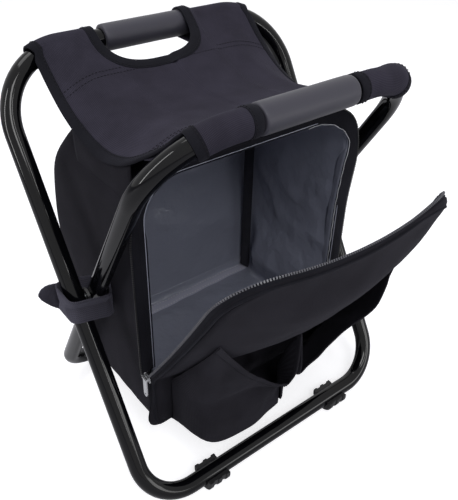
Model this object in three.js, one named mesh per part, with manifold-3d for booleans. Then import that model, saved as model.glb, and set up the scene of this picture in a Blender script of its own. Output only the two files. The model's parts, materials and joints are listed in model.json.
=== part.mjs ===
// Folding cooler stool. Two crossed loops of steel tube turn on a pair of rivets, a fabric
// seat hangs between their top bars, and an insulated bag with a zipped door and two patch
// pockets hangs inside the frames. The stool stands open, with the door unzipped and leaning.
// Millimetres, +Z up, front towards -Y. The origin is on the floor under the middle of the
// whole stool, its open door included.
import * as THREE from 'three';
import { mergeVertices } from 'three/addons/utils/BufferGeometryUtils.js';
import Module from 'manifold-3d';

const wasm = await Module();
wasm.setup();

// Driving sizes of the tube frames
const tubeDiameter = 18;
const tubeWall = 1;
const legBesideSeat = 37;
const legGap = 3.4;
const seatHeight = 404;
const frameDepth = 233;
const topBendRadius = 68;
const bottomBendRadius = 48;
const solePad = 5.7;
const clearance = 0.3;

// Grips, seat and fabric sleeves
const gripDiameter = 26;
const gripLength = 100;
const gripEdge = 1.5;
const hemDiameter = 23.4;
const seatHalfWidth = 125;
const seatThickness = 3;
const seatSag = 34;
const seatEdgeSag = 42;
const seatFlapWidth = 45;
const cutOutHalfWidth = 53;
const rearCutOutDepth = 34;
const frontCutOutDepth = 17;

// Rubber feet
const outerFootSpacing = 176;
const innerFootSpacing = 158;
const footLength = 26;
const footWall = 4.7;
const footRibProud = 1.3;
const footRibWidth = 5;
const footRibs = 3;
const footLipDegrees = 15;

// Rivets
const rivetDiameter = 6;
const rivetHeadDiameter = 13;
const rivetHeadHeight = 2.2;
const washerDiameter = 16;

// Insulated bag
const bagBottom = 66;
const bagBelowSeat = 50;
const bagBack = 97;
const openingFront = -62;
const zipEndHeight = 130;
const bagTopRadius = 45;
const bagBottomRadius = 15;
const bagShoulderRadius = 55;
const coverThickness = 1.2;
const foamThickness = 3.5;
const liningThickness = 0.7;
const webThickness = 1.2;
const webFrontShare = -0.8;
const webBackShare = 0.4;

// Zip, slider and pull tab
const zipBeadDepth = 2.2;
const zipBeadWidth = 2.2;
const sliderWidth = 8.5;
const sliderLength = 11;
const sliderThickness = 2.6;
const tabLength = 25;
const tabWidth = 6;
const tabThickness = 1.2;
const tabPinDiameter = 1.4;
const tabBarrelDiameter = 3.4;
const tabHoleDiameter = 2.6;

// Door and pockets
const doorDepth = 13;
const doorLeanDegrees = 35;
const doorBulge = 20;
const pocketInset = 18;
const pocketBottom = 68;
const pocketSag = 5;
const pocketMouthRise = 80;
const pocketCornerRise = 38;
const pocketBulge = 44;
const pocketThickness = 1.4;
const pocketCornerShare = 0.5;
const pocketRoundnessShare = 0.45;
const pocketRiseShare = 0.05;
const pocketRowPower = 1.8;

// Tie straps at the pivots
const strapThickness = 1.6;
const strapWidth = 22;
const strapBelowPivot = 19.5;
const strapTailReach = 16;
const strapTailRise = 10;

// Smoothness of round shapes, in counts
const tubeSides = 16;
const boreSides = 8;
const rivetSides = 12;
const stepsPerBend = 6;
const roundSteps = 5;
const seatColumns = 14;
const seatRows = 12;
const pocketColumns = 10;
const pocketRows = 10;
const doorColumns = 12;
const doorRows = 8;
const webSteps = 6;
const rearHemSteps = 2;
const frontHemSteps = 3;
const overrun = 1;

// Sizes that follow from the driving ones
const tubeRadius = tubeDiameter / 2;
const boreRadius = tubeRadius + clearance;
const hemRadius = hemDiameter / 2;
const gripRadius = gripDiameter / 2;
const halfDepth = frameDepth / 2;
const barHeight = solePad + tubeRadius;
const outerFrameWidth = 2 * (seatHalfWidth + legBesideSeat);
const innerFrameWidth = outerFrameWidth - 2 * (tubeDiameter + legGap);
const loopLength = Math.hypot(frameDepth, seatHeight - barHeight);
const tiltSine = frameDepth / loopLength;
const tiltCosine = (seatHeight - barHeight) / loopLength;
const pivotHeight = (seatHeight + barHeight) / 2;
const outerLeg = outerFrameWidth / 2;
const innerLeg = innerFrameWidth / 2;
const bagHalfWidth = seatHalfWidth;
const bagTop = seatHeight - bagBelowSeat;
const pocketHalfWidth = bagHalfWidth - pocketInset;
const wallStack = coverThickness + foamThickness + liningThickness + 2 * clearance;
const coverFace = openingFront - doorDepth;
const doorLean = THREE.MathUtils.degToRad(doorLeanDegrees);
const rivetRadius = rivetDiameter / 2;
const rivetHoleRadius = rivetRadius + clearance;

const sides = [
  { name: 'left', sign: -1 },
  { name: 'right', sign: 1 },
];
const outerFrame = {
  width: outerFrameWidth, lean: 1, footSpacing: outerFootSpacing, cutOutDepth: rearCutOutDepth,
};
const innerFrame = {
  width: innerFrameWidth, lean: -1, footSpacing: innerFootSpacing, cutOutDepth: frontCutOutDepth,
};

// Finishes
function finish(color, roughness, metalness) {
  return new THREE.MeshStandardMaterial({ color, roughness, metalness, side: THREE.DoubleSide });
}
const glossPaint = finish(0x0b0c0f, 0.22, 0.4);
const gripFoam = finish(0x35353b, 0.75, 0);
const wovenFabric = finish(0x2b2a31, 0.9, 0);
const webbing = finish(0x1d1d21, 0.85, 0);
const insulation = finish(0xd9d9d6, 0.95, 0);
const liningFilm = finish(0x565b68, 0.4, 0.1);
const rubber = finish(0x141416, 0.8, 0);
const castZinc = finish(0xb9bbbd, 0.3, 0.9);
const rivetSteel = finish(0x8f9296, 0.35, 0.9);
const nylon = finish(0x1a1a1c, 0.6, 0);
const zipTeeth = finish(0x4b4d52, 0.55, 0.1);

const stool = new THREE.Group();

function addPiece(name, geometry, material, parent = stool) {
  const piece = new THREE.Mesh(geometry, material);
  piece.name = name;
  parent.add(piece);
  return piece;
}

// Closed geometry and joins

function facingOut(geometry) {
  const place = geometry.attributes.position;
  const index = geometry.index.array;
  const [a, b, c] = [new THREE.Vector3(), new THREE.Vector3(), new THREE.Vector3()];
  let volume = 0;
  for (let i = 0; i < index.length; i += 3) {
    a.fromBufferAttribute(place, index[i]);
    b.fromBufferAttribute(place, index[i + 1]);
    c.fromBufferAttribute(place, index[i + 2]);
    volume += a.dot(b.cross(c));
  }
  if (volume < 0) {
    for (let i = 0; i < index.length; i += 3) {
      [index[i], index[i + 1]] = [index[i + 1], index[i]];
    }
  }
  geometry.computeVertexNormals();
  return geometry;
}

function meshFrom(points, triangles) {
  const geometry = new THREE.BufferGeometry();
  geometry.setAttribute('position', new THREE.Float32BufferAttribute(points.flatMap((p) => [p.x, p.y, p.z]), 3));
  geometry.setIndex(triangles);
  return facingOut(geometry);
}

// Joins rings of equal point counts one after another: round to the first ring again for a
// closed chain, or capped at both ends.
function skinRings(rings, closed) {
  const points = rings.flat();
  const count = rings[0].length;
  const triangles = [];
  const spans = closed ? rings.length : rings.length - 1;
  for (let i = 0; i < spans; i += 1) {
    const here = i * count;
    const next = ((i + 1) % rings.length) * count;
    for (let k = 0; k < count; k += 1) {
      const l = (k + 1) % count;
      triangles.push(here + k, here + l, next + l, here + k, next + l, next + k);
    }
  }
  if (!closed) {
    const last = (rings.length - 1) * count;
    for (let k = 1; k < count - 1; k += 1) {
      triangles.push(0, k + 1, k, last, last + k, last + k + 1);
    }
  }
  return meshFrom(points, triangles);
}

function toManifold(geometry) {
  const bare = geometry.clone();
  bare.deleteAttribute('normal');
  bare.deleteAttribute('uv');
  const merged = mergeVertices(bare);
  return new wasm.Manifold(new wasm.Mesh({
    numProp: 3,
    vertProperties: new Float32Array(merged.attributes.position.array),
    triVerts: new Uint32Array(merged.index.array),
  }));
}

function toGeometry(manifold) {
  const mesh = manifold.getMesh();
  const geometry = new THREE.BufferGeometry();
  geometry.setAttribute('position', new THREE.BufferAttribute(new Float32Array(mesh.vertProperties), 3));
  geometry.setIndex(Array.from(mesh.triVerts));
  geometry.computeVertexNormals();
  return geometry;
}

function cut(body, ...tools) {
  return toGeometry(tools.reduce((rest, tool) => rest.subtract(toManifold(tool)), toManifold(body)));
}

function joined(...bodies) {
  return toGeometry(bodies.map(toManifold).reduce((whole, body) => whole.add(body)));
}

function shared(first, second) {
  return toGeometry(toManifold(first).intersect(toManifold(second)));
}

function boxBetween(low, high) {
  const size = high.map((value, axis) => value - low[axis]);
  const box = new THREE.BoxGeometry(...size);
  box.translate(...high.map((value, axis) => (value + low[axis]) / 2));
  return box;
}

// An outline in Y and Z, drawn out along X between two places
function extrudeAlongX(shape, from, to) {
  const solid = new THREE.ExtrudeGeometry(shape, {
    depth: to - from,
    bevelEnabled: false,
    curveSegments: roundSteps,
  });
  solid.rotateX(Math.PI / 2);
  solid.rotateZ(Math.PI / 2);
  solid.translate(from, 0, 0);
  return solid;
}

// An outline in X and Z, drawn out along Y between two places
function extrudeAlongY(shape, from, to) {
  const solid = new THREE.ExtrudeGeometry(shape, {
    depth: to - from,
    bevelEnabled: false,
    curveSegments: roundSteps,
  });
  solid.rotateX(Math.PI / 2);
  solid.translate(0, to, 0);
  return solid;
}

function rodAlongX(radius, from, to, sidesAround = tubeSides) {
  const rod = new THREE.CylinderGeometry(radius, radius, to - from, sidesAround);
  rod.rotateZ(Math.PI / 2);
  rod.translate((from + to) / 2, 0, 0);
  return rod;
}

// Tube frames. A place on a frame's loop is given across the stool and up along the loop.

function loopPoint(frame, across, up) {
  return new THREE.Vector3(across, frame.lean * (up * tiltSine - halfDepth), barHeight + up * tiltCosine);
}

function loopDirection(frame, across, up) {
  return new THREE.Vector3(across, frame.lean * up * tiltSine, up * tiltCosine);
}

function stationAt(frame, across, up, outwardAcross, outwardUp) {
  return {
    centre: loopPoint(frame, across, up),
    outward: loopDirection(frame, outwardAcross, outwardUp),
    sideways: new THREE.Vector3(0, frame.lean * tiltCosine, -tiltSine),
  };
}

function bendStations(frame, centreAcross, centreUp, radius, fromStep, toStep) {
  const stations = [];
  const direction = Math.sign(toStep - fromStep);
  for (let step = fromStep; step !== toStep + direction; step += direction) {
    const angle = (step / stepsPerBend) * (Math.PI / 2);
    const [x, y] = [Math.cos(angle), Math.sin(angle)];
    stations.push(stationAt(frame, centreAcross + radius * x, centreUp + radius * y, x, y));
  }
  return stations;
}

function loopStations(frame) {
  const topAcross = frame.width / 2 - topBendRadius;
  const bottomAcross = frame.width / 2 - bottomBendRadius;
  const topUp = loopLength - topBendRadius;
  return [
    ...bendStations(frame, bottomAcross, bottomBendRadius, bottomBendRadius, -stepsPerBend, 0),
    ...bendStations(frame, topAcross, topUp, topBendRadius, 0, stepsPerBend),
    ...bendStations(frame, -topAcross, topUp, topBendRadius, stepsPerBend, 2 * stepsPerBend),
    ...bendStations(frame, -bottomAcross, bottomBendRadius, bottomBendRadius, 2 * stepsPerBend, 3 * stepsPerBend),
  ];
}

function ringAt(station, radius, sidesAround = tubeSides) {
  const ring = [];
  for (let k = 0; k < sidesAround; k += 1) {
    const angle = (k / sidesAround) * 2 * Math.PI;
    const point = station.centre.clone();
    point.addScaledVector(station.outward, radius * Math.cos(angle));
    point.addScaledVector(station.sideways, radius * Math.sin(angle));
    ring.push(point);
  }
  return ring;
}

function tubeFrame(frame) {
  const stations = loopStations(frame);
  const outside = skinRings(stations.map((station) => ringAt(station, tubeRadius)), true);
  const boreRings = stations.map((station) => ringAt(station, tubeRadius - tubeWall, boreSides));
  const inside = skinRings(boreRings, true);
  const rivetHoles = sides.map(({ sign }) => {
    const leg = sign * (frame.width / 2);
    const hole = rodAlongX(rivetHoleRadius, leg - tubeRadius - overrun, leg + tubeRadius + overrun);
    hole.translate(0, 0, pivotHeight);
    return hole;
  });
  return cut(outside, inside, ...rivetHoles);
}

// A sleeve round a stretch of the frame, as one closed chain of outer and inner rings
function sleeve(stations, outerRadii, innerRadius) {
  const outside = stations.map((station, i) => ringAt(station, outerRadii[i]));
  const inside = stations.map((station) => ringAt(station, innerRadius)).reverse();
  return skinRings([...outside, ...inside], true);
}

function grip(frame) {
  const ends = [-gripLength / 2, -gripLength / 2 + gripEdge, gripLength / 2 - gripEdge, gripLength / 2];
  const stations = ends.map((across) => stationAt(frame, across, loopLength, 0, 1));
  const radii = [gripRadius - gripEdge, gripRadius, gripRadius, gripRadius - gripEdge];
  return sleeve(stations, radii, boreRadius);
}

// The fabric sleeve beside the grip runs on round the first steps of the bend.
function hem(frame, sign, bendSteps) {
  const straight = frame.width / 2 - topBendRadius;
  const centreUp = loopLength - topBendRadius;
  const endStep = stepsPerBend - sign * bendSteps;
  const stations = [
    stationAt(frame, sign * (gripLength / 2 + clearance), loopLength, 0, 1),
    ...bendStations(frame, sign * straight, centreUp, topBendRadius, stepsPerBend, endStep),
  ];
  return sleeve(stations, stations.map(() => hemRadius), boreRadius);
}

function foot(frame, sign) {
  const outline = (radius) => {
    const lip = THREE.MathUtils.degToRad(footLipDegrees);
    const soleAngle = Math.acos(Math.min(1, barHeight / radius));
    const shape = new THREE.Shape();
    shape.absarc(0, 0, radius, lip, -Math.PI / 2 + soleAngle, true);
    shape.absarc(0, 0, radius, -Math.PI / 2 - soleAngle, -Math.PI - lip, true);
    shape.absarc(0, 0, boreRadius, -Math.PI - lip, lip, false);
    return shape;
  };
  const start = -footLength / 2;
  const pitch = (footLength - footRibWidth) / (footRibs - 1);
  let body = extrudeAlongX(outline(tubeRadius + footWall), start, -start);
  for (let rib = 0; rib < footRibs; rib += 1) {
    const from = start + rib * pitch;
    const band = extrudeAlongX(outline(tubeRadius + footWall + footRibProud), from, from + footRibWidth);
    body = joined(body, band);
  }
  body.translate(sign * (frame.footSpacing / 2), -frame.lean * halfDepth, barHeight);
  return body;
}

// Rivets and washers at the crossing

function rivet(sign) {
  const inside = innerLeg - tubeRadius - clearance;
  const outside = outerLeg + tubeRadius + clearance;
  const headRadius = rivetHeadDiameter / 2;
  const brim = rivetHeadHeight / 2;
  const profile = [
    [0, inside - rivetHeadHeight],
    [headRadius - brim, inside - rivetHeadHeight],
    [headRadius, inside - brim],
    [headRadius, inside],
    [rivetRadius, inside],
    [rivetRadius, outside],
    [headRadius, outside],
    [headRadius, outside + brim],
    [headRadius - brim, outside + rivetHeadHeight],
    [0, outside + rivetHeadHeight],
  ].map(([radius, along]) => new THREE.Vector2(radius, along));
  const solid = new THREE.LatheGeometry(profile, rivetSides);
  solid.rotateZ(-sign * (Math.PI / 2));
  solid.translate(0, 0, pivotHeight);
  return solid;
}

function washer(sign) {
  const from = innerLeg + tubeRadius + clearance;
  const to = outerLeg - tubeRadius - clearance;
  const profile = [
    [rivetHoleRadius, from],
    [washerDiameter / 2, from],
    [washerDiameter / 2, to],
    [rivetHoleRadius, to],
    [rivetHoleRadius, from],
  ].map(([radius, along]) => new THREE.Vector2(radius, along));
  const solid = new THREE.LatheGeometry(profile, rivetSides);
  solid.rotateZ(-sign * (Math.PI / 2));
  solid.translate(0, 0, pivotHeight);
  return solid;
}

// Seat. Its ends meet the sleeves, which drop away round the bends.

function barAt(frame, x) {
  const beyond = Math.max(0, Math.abs(x) - (frame.width / 2 - topBendRadius));
  const rise = Math.sqrt(Math.max(0, topBendRadius ** 2 - beyond ** 2));
  const centre = loopPoint(frame, x, loopLength - topBendRadius + rise);
  const reach = Math.hypot((hemRadius * topBendRadius * tiltSine) / rise, hemRadius * tiltCosine) + clearance;
  return { y: centre.y - frame.lean * reach, z: centre.z };
}

function seatMiddle(x, share) {
  const front = barAt(innerFrame, x);
  const back = barAt(outerFrame, x);
  const flap = THREE.MathUtils.smoothstep(Math.abs(x), seatHalfWidth - seatFlapWidth, seatHalfWidth);
  const sag = THREE.MathUtils.lerp(seatSag, seatEdgeSag, flap);
  const along = (share + 1) / 2;
  const y = THREE.MathUtils.lerp(front.y, back.y, along);
  const z = THREE.MathUtils.lerp(front.z, back.z, along) - sag * (1 - share ** 2);
  return new THREE.Vector3(x, y, z);
}

// Skins a grid of points and its copy below into one closed slab
function slab(top, bottom) {
  const rows = top.length;
  const columns = top[0].length;
  const points = [...top.flat(), ...bottom.flat()];
  const under = rows * columns;
  const at = (i, j) => i * columns + j;
  const triangles = [];
  const quad = (a, b, c, d) => triangles.push(a, b, c, a, c, d);
  for (let i = 0; i < rows - 1; i += 1) {
    for (let j = 0; j < columns - 1; j += 1) {
      quad(at(i, j), at(i + 1, j), at(i + 1, j + 1), at(i, j + 1));
      quad(under + at(i, j), under + at(i, j + 1), under + at(i + 1, j + 1), under + at(i + 1, j));
    }
  }
  const rim = [];
  for (let j = 0; j < columns - 1; j += 1) rim.push(at(0, j));
  for (let i = 0; i < rows - 1; i += 1) rim.push(at(i, columns - 1));
  for (let j = columns - 1; j > 0; j -= 1) rim.push(at(rows - 1, j));
  for (let i = rows - 1; i > 0; i -= 1) rim.push(at(i, 0));
  rim.forEach((here, k) => {
    const next = rim[(k + 1) % rim.length];
    quad(here, next, under + next, under + here);
  });
  return meshFrom(points, triangles);
}

function seatPanel() {
  const layer = (offset) => {
    const grid = [];
    for (let i = 0; i <= seatColumns; i += 1) {
      const x = THREE.MathUtils.lerp(-seatHalfWidth, seatHalfWidth, i / seatColumns);
      const row = [];
      for (let j = 0; j <= seatRows; j += 1) {
        const point = seatMiddle(x, (2 * j) / seatRows - 1);
        point.z += offset;
        row.push(point);
      }
      grid.push(row);
    }
    return grid;
  };
  const sheet = slab(layer(seatThickness / 2), layer(-seatThickness / 2));
  const cutOuts = [outerFrame, innerFrame].map((frame) => {
    const edge = barAt(frame, 0);
    const shape = new THREE.Shape();
    shape.absellipse(0, edge.y, cutOutHalfWidth, frame.cutOutDepth, 0, 2 * Math.PI);
    const tool = new THREE.ExtrudeGeometry(shape, {
      depth: 2 * seatSag,
      bevelEnabled: false,
      curveSegments: 4 * roundSteps,
    });
    tool.translate(0, 0, edge.z - seatSag);
    return tool;
  });
  return cut(sheet, ...cutOuts);
}

// Bag. Each layer is a hollow shell with an open front: the outline seen from the front,
// drawn out along Y, shared with the outline seen from the side, drawn out along X.

function frontOutline(inset) {
  const width = bagHalfWidth - inset;
  const low = bagBottom + inset;
  const high = bagTop - inset;
  const top = bagTopRadius - inset;
  const bottom = bagBottomRadius - inset;
  const shape = new THREE.Shape();
  shape.absarc(width - bottom, low + bottom, bottom, -Math.PI / 2, 0, false);
  shape.absarc(width - top, high - top, top, 0, Math.PI / 2, false);
  shape.absarc(-width + top, high - top, top, Math.PI / 2, Math.PI, false);
  shape.absarc(-width + bottom, low + bottom, bottom, Math.PI, 1.5 * Math.PI, false);
  return shape;
}

// Seen from the side, with Y to the right and Z up. The lower front stands out by the
// door's depth, and above the zip ends the front is open.
function sideOutline(inset, front) {
  const low = bagBottom + inset;
  const high = bagTop - inset;
  const back = bagBack - inset;
  const shoulder = bagShoulderRadius - inset;
  const heel = bagBottomRadius - inset;
  const step = zipEndHeight - clearance;
  const shape = new THREE.Shape();
  shape.moveTo(front, step);
  shape.lineTo(coverFace + inset, step);
  shape.absarc(coverFace + inset + heel, low + heel, heel, Math.PI, 1.5 * Math.PI, false);
  shape.absarc(back - heel, low + heel, heel, 1.5 * Math.PI, 2 * Math.PI, false);
  shape.absarc(back - shoulder, high - shoulder, shoulder, 0, Math.PI / 2, false);
  shape.lineTo(front, high);
  return shape;
}

const wallFront = openingFront + clearance + zipBeadDepth + clearance;

function bagSolid(inset, front) {
  const fromFront = extrudeAlongY(frontOutline(inset), 2 * coverFace, bagBack + overrun);
  const fromSide = extrudeAlongX(sideOutline(inset, front), -bagHalfWidth - overrun, bagHalfWidth + overrun);
  return shared(fromFront, fromSide);
}

function bagLayer(from, thickness) {
  return cut(bagSolid(from, wallFront), bagSolid(from + thickness, 2 * coverFace));
}

// A layer is cut into its panels along the seams, with a fine gap at each seam.
function bagPanels(from, thickness) {
  const layer = bagLayer(from, thickness);
  const seam = clearance / 2;
  const wide = bagHalfWidth + overrun;
  const side = bagHalfWidth - wallStack;
  const floorTop = bagBottom + bagBottomRadius;
  const archFoot = bagTop - bagShoulderRadius;
  const far = 2 * bagHalfWidth;
  const step = zipEndHeight - clearance;
  const regions = {
    floor: [[-wide, -far, 0], [wide, far, floorTop - seam]],
    arch: [[-wide, -far, archFoot + seam], [wide, far, bagTop + overrun]],
    left: [[-wide, -far, floorTop + seam], [-side - seam, far, archFoot - seam]],
    right: [[side + seam, -far, floorTop + seam], [wide, far, archFoot - seam]],
    back: [[-side + seam, 0, floorTop + seam], [side - seam, far, archFoot - seam]],
    front: [[-side + seam, -far, floorTop + seam], [side - seam, wallFront, step]],
  };
  return Object.entries(regions).map(([name, [low, high]]) => ({
    name,
    geometry: shared(layer, boxBetween(low, high)),
  }));
}

function belowZipEnds(fromY, toY) {
  return boxBetween(
    [-2 * bagHalfWidth, fromY - overrun, -overrun],
    [2 * bagHalfWidth, toY + overrun, zipEndHeight + clearance],
  );
}

// A U-shaped band round the opening's edge, open below the zip ends
function openingBand(inset, width, fromY, toY) {
  const whole = extrudeAlongY(frontOutline(inset), fromY, toY);
  const core = extrudeAlongY(frontOutline(inset + width), fromY - overrun, toY + overrun);
  return cut(whole, core, belowZipEnds(fromY, toY));
}

// How far the soft door swells outwards between its edges
function doorSwell(x, height) {
  const across = Math.min(1, Math.abs(x) / bagHalfWidth);
  const up = THREE.MathUtils.clamp((height - zipEndHeight) / (bagTop - zipEndHeight), 0, 1);
  return doorBulge * (1 - across ** 2) * Math.sin(Math.PI * up);
}

function swollenSheet(fromY, toY) {
  const layer = (y) => {
    const grid = [];
    for (let i = 0; i <= doorColumns; i += 1) {
      const x = (bagHalfWidth + overrun) * THREE.MathUtils.lerp(-1, 1, i / doorColumns);
      const row = [];
      for (let j = 0; j <= doorRows; j += 1) {
        const height = THREE.MathUtils.lerp(zipEndHeight - overrun, bagTop + overrun, j / doorRows);
        row.push(new THREE.Vector3(x, y - doorSwell(x, height), height));
      }
      grid.push(row);
    }
    return grid;
  };
  return slab(layer(fromY), layer(toY));
}

// One layer of the door: the opening's outline, but whole, cut from a swollen sheet
function doorPlate(inset, fromY, toY) {
  const outline = extrudeAlongY(frontOutline(inset), fromY - doorBulge - overrun, toY + overrun);
  const whole = shared(outline, swollenSheet(fromY, toY));
  return cut(whole, belowZipEnds(fromY - doorBulge, toY));
}

// A fabric web joins each top edge of the bag to the seat's hanging edge.
function sideWeb(sign) {
  const inner = bagHalfWidth - webThickness - clearance;
  const fold = bagTop - bagTopRadius;
  const recess = webThickness + 2 * clearance;
  const foot = fold + Math.sqrt(bagTopRadius ** 2 - (bagTopRadius - recess) ** 2);
  const shape = new THREE.Shape();
  const under = [];
  for (let i = 0; i <= webSteps; i += 1) {
    const point = seatMiddle(seatHalfWidth, THREE.MathUtils.lerp(webFrontShare, webBackShare, i / webSteps));
    under.push([point.y, point.z - seatThickness / 2 - clearance]);
  }
  shape.moveTo(under[0][0], foot);
  shape.lineTo(under[under.length - 1][0], foot);
  under.reverse().forEach(([y, z]) => shape.lineTo(y, z));
  const web = extrudeAlongX(shape, inner, inner + webThickness);
  return sign > 0 ? web : mirrorX(web);
}

function mirrorX(geometry) {
  const place = geometry.attributes.position;
  for (let i = 0; i < place.count; i += 1) place.setX(i, -place.getX(i));
  const bare = geometry.clone();
  bare.deleteAttribute('normal');
  bare.deleteAttribute('uv');
  return facingOut(mergeVertices(bare));
}

// Tie strap: webbing sewn to the bag's side, round both legs just below the pivot.
// The legs part downwards, so the loop widens with them.
function tieStrap(sign) {
  const inner = bagHalfWidth + clearance + strapThickness;
  const outer = outerLeg + tubeRadius + clearance + rivetHeadHeight + clearance;
  const levels = [-strapBelowPivot, strapWidth - strapBelowPivot];
  const ringAtLevel = (level, grow) => {
    const crossing = (Math.abs(level) * tiltSine + tubeRadius) / tiltCosine + clearance + grow;
    const corner = tubeRadius;
    const shape = new THREE.Shape();
    shape.moveTo(inner - grow, -crossing);
    shape.lineTo(outer + grow - corner, -crossing);
    shape.quadraticCurveTo(outer + grow, -crossing, outer + grow, -crossing + corner);
    shape.lineTo(outer + grow, crossing - corner);
    shape.quadraticCurveTo(outer + grow, crossing, outer + grow - corner, crossing);
    shape.lineTo(inner - grow, crossing);
    return shape.getPoints(roundSteps).map((p) => new THREE.Vector3(p.x, p.y, pivotHeight + level));
  };
  const rings = [
    ringAtLevel(levels[0], strapThickness),
    ringAtLevel(levels[1], strapThickness),
    ringAtLevel(levels[1], 0),
    ringAtLevel(levels[0], 0),
  ];
  const band = skinRings(rings, true);
  const back = (strapBelowPivot * tiltSine + tubeRadius) / tiltCosine + strapThickness;
  const tail = new THREE.Shape();
  tail.moveTo(outer - tubeRadius, pivotHeight - strapBelowPivot);
  tail.lineTo(outer + strapTailReach, pivotHeight + strapTailRise);
  tail.lineTo(outer, pivotHeight + strapTailRise);
  tail.lineTo(outer - tubeRadius, pivotHeight);
  const flag = extrudeAlongY(tail, back, back + strapThickness);
  const strap = joined(band, flag);
  return sign > 0 ? strap : mirrorX(strap);
}

// Patch pockets. The base line climbs the bag's lower front and goes on up the leaning door.

function pocketBase(x, height) {
  const onDoor = Math.max(0, height - zipEndHeight);
  const onBag = Math.min(height, zipEndHeight);
  const swell = doorSwell(x, height);
  return {
    y: coverFace - onDoor * Math.sin(doorLean) - swell * Math.cos(doorLean),
    z: onBag + onDoor * Math.cos(doorLean) - swell * Math.sin(doorLean),
  };
}

// The pocket stands straight out of the bag at its foot and turns square to the door higher up.
function pocketPoint(sign, across, up) {
  const seam = clearance + pocketThickness;
  const foot = clearance + pocketThickness / 4;
  const corner = THREE.MathUtils.smoothstep(across, pocketCornerShare, 1);
  const mouth = zipEndHeight + pocketMouthRise + pocketCornerRise * corner;
  const x = sign * THREE.MathUtils.lerp(seam, pocketHalfWidth, across);
  const base = pocketBase(x, THREE.MathUtils.lerp(pocketBottom + seam, mouth, up));
  const belly = Math.sin(Math.PI * across) ** pocketRoundnessShare;
  const rising = Math.sqrt(Math.min(1, up / pocketRiseShare));
  const turning = THREE.MathUtils.smoothstep(up, 0, 1);
  const out = foot + pocketBulge * belly * rising;
  const sag = pocketSag * belly * rising * (1 - turning);
  const lean = doorLean * turning;
  return new THREE.Vector3(x, base.y - out * Math.cos(lean), base.z - out * Math.sin(lean) - sag);
}

function pocket(sign) {
  const middle = [];
  for (let i = 0; i <= pocketColumns; i += 1) {
    const row = [];
    for (let j = 0; j <= pocketRows; j += 1) {
      row.push(pocketPoint(sign, i / pocketColumns, (j / pocketRows) ** pocketRowPower));
    }
    middle.push(row);
  }
  const clampAt = (value, top) => Math.min(Math.max(value, 0), top);
  const normalAt = (i, j) => {
    const alongI = middle[clampAt(i + 1, pocketColumns)][j].clone().sub(middle[clampAt(i - 1, pocketColumns)][j]);
    const alongJ = middle[i][clampAt(j + 1, pocketRows)].clone().sub(middle[i][clampAt(j - 1, pocketRows)]);
    return alongI.cross(alongJ).normalize();
  };
  const offset = (distance) => middle.map((row, i) => row.map((point, j) => (
    point.clone().addScaledVector(normalAt(i, j), distance)
  )));
  return slab(offset(pocketThickness / 2), offset(-pocketThickness / 2));
}

// Zip slider with its two ears and pin, and the pull tab that turns on the pin

const sliderSide = -(bagHalfWidth + clearance);
const sliderBottom = zipEndHeight + clearance;
const pinSide = sliderSide - sliderThickness - tabBarrelDiameter / 2 - clearance;
const pinHeight = sliderBottom + sliderLength / 2;
const earThickness = (sliderWidth - tabWidth) / 2 - clearance;

function pinAlongY(radius, from, to, sidesAround) {
  const pin = new THREE.CylinderGeometry(radius, radius, to - from, sidesAround);
  pin.translate(pinSide, (from + to) / 2, pinHeight);
  return pin;
}

function zipSlider() {
  const front = openingFront - sliderWidth / 2;
  const back = openingFront + sliderWidth / 2;
  const base = boxBetween(
    [sliderSide - sliderThickness, front, sliderBottom],
    [sliderSide, back, sliderBottom + sliderLength],
  );
  const earHalf = tabBarrelDiameter / 2;
  const ears = [front, back - earThickness].map((from) => boxBetween(
    [pinSide - earHalf / 2, from, pinHeight - earHalf],
    [sliderSide - sliderThickness + clearance, from + earThickness, pinHeight + earHalf],
  ));
  const pin = pinAlongY(tabPinDiameter / 2, front + clearance, back - clearance, tubeSides / 2);
  return joined(base, ...ears, pin);
}

function pullTab() {
  const half = tabWidth / 2;
  const barrel = pinAlongY(tabBarrelDiameter / 2, openingFront - half, openingFront + half, tubeSides);
  const eye = pinAlongY(tabPinDiameter / 2 + clearance, openingFront - tabWidth, openingFront + tabWidth, tubeSides);
  const tip = pinHeight - tabLength;
  const shape = new THREE.Shape();
  shape.moveTo(openingFront - half, pinHeight);
  shape.lineTo(openingFront - half, tip + half);
  shape.absarc(openingFront, tip + half, half, Math.PI, 2 * Math.PI, false);
  shape.lineTo(openingFront + half, pinHeight);
  const hole = new THREE.Path();
  hole.absarc(openingFront, tip + half, tabHoleDiameter / 2, 0, 2 * Math.PI, true);
  shape.holes.push(hole);
  const plate = extrudeAlongX(shape, pinSide - tabThickness / 2, pinSide + tabThickness / 2);
  return cut(joined(barrel, plate), eye);
}

// Assembly: frames

addPiece('outer_frame_tube', tubeFrame(outerFrame), glossPaint);
addPiece('inner_frame_tube', tubeFrame(innerFrame), glossPaint);
addPiece('rear_grip', grip(outerFrame), gripFoam);
addPiece('front_grip', grip(innerFrame), gripFoam);
for (const { name, sign } of sides) {
  addPiece(`rear_hem_${name}`, hem(outerFrame, sign, rearHemSteps), wovenFabric);
  addPiece(`front_hem_${name}`, hem(innerFrame, sign, frontHemSteps), wovenFabric);
  addPiece(`outer_foot_${name}`, foot(outerFrame, sign), rubber);
  addPiece(`inner_foot_${name}`, foot(innerFrame, sign), rubber);
  addPiece(`pivot_rivet_${name}`, rivet(sign), rivetSteel);
  addPiece(`pivot_washer_${name}`, washer(sign), nylon);
}
addPiece('seat_panel', seatPanel(), wovenFabric);

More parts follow.
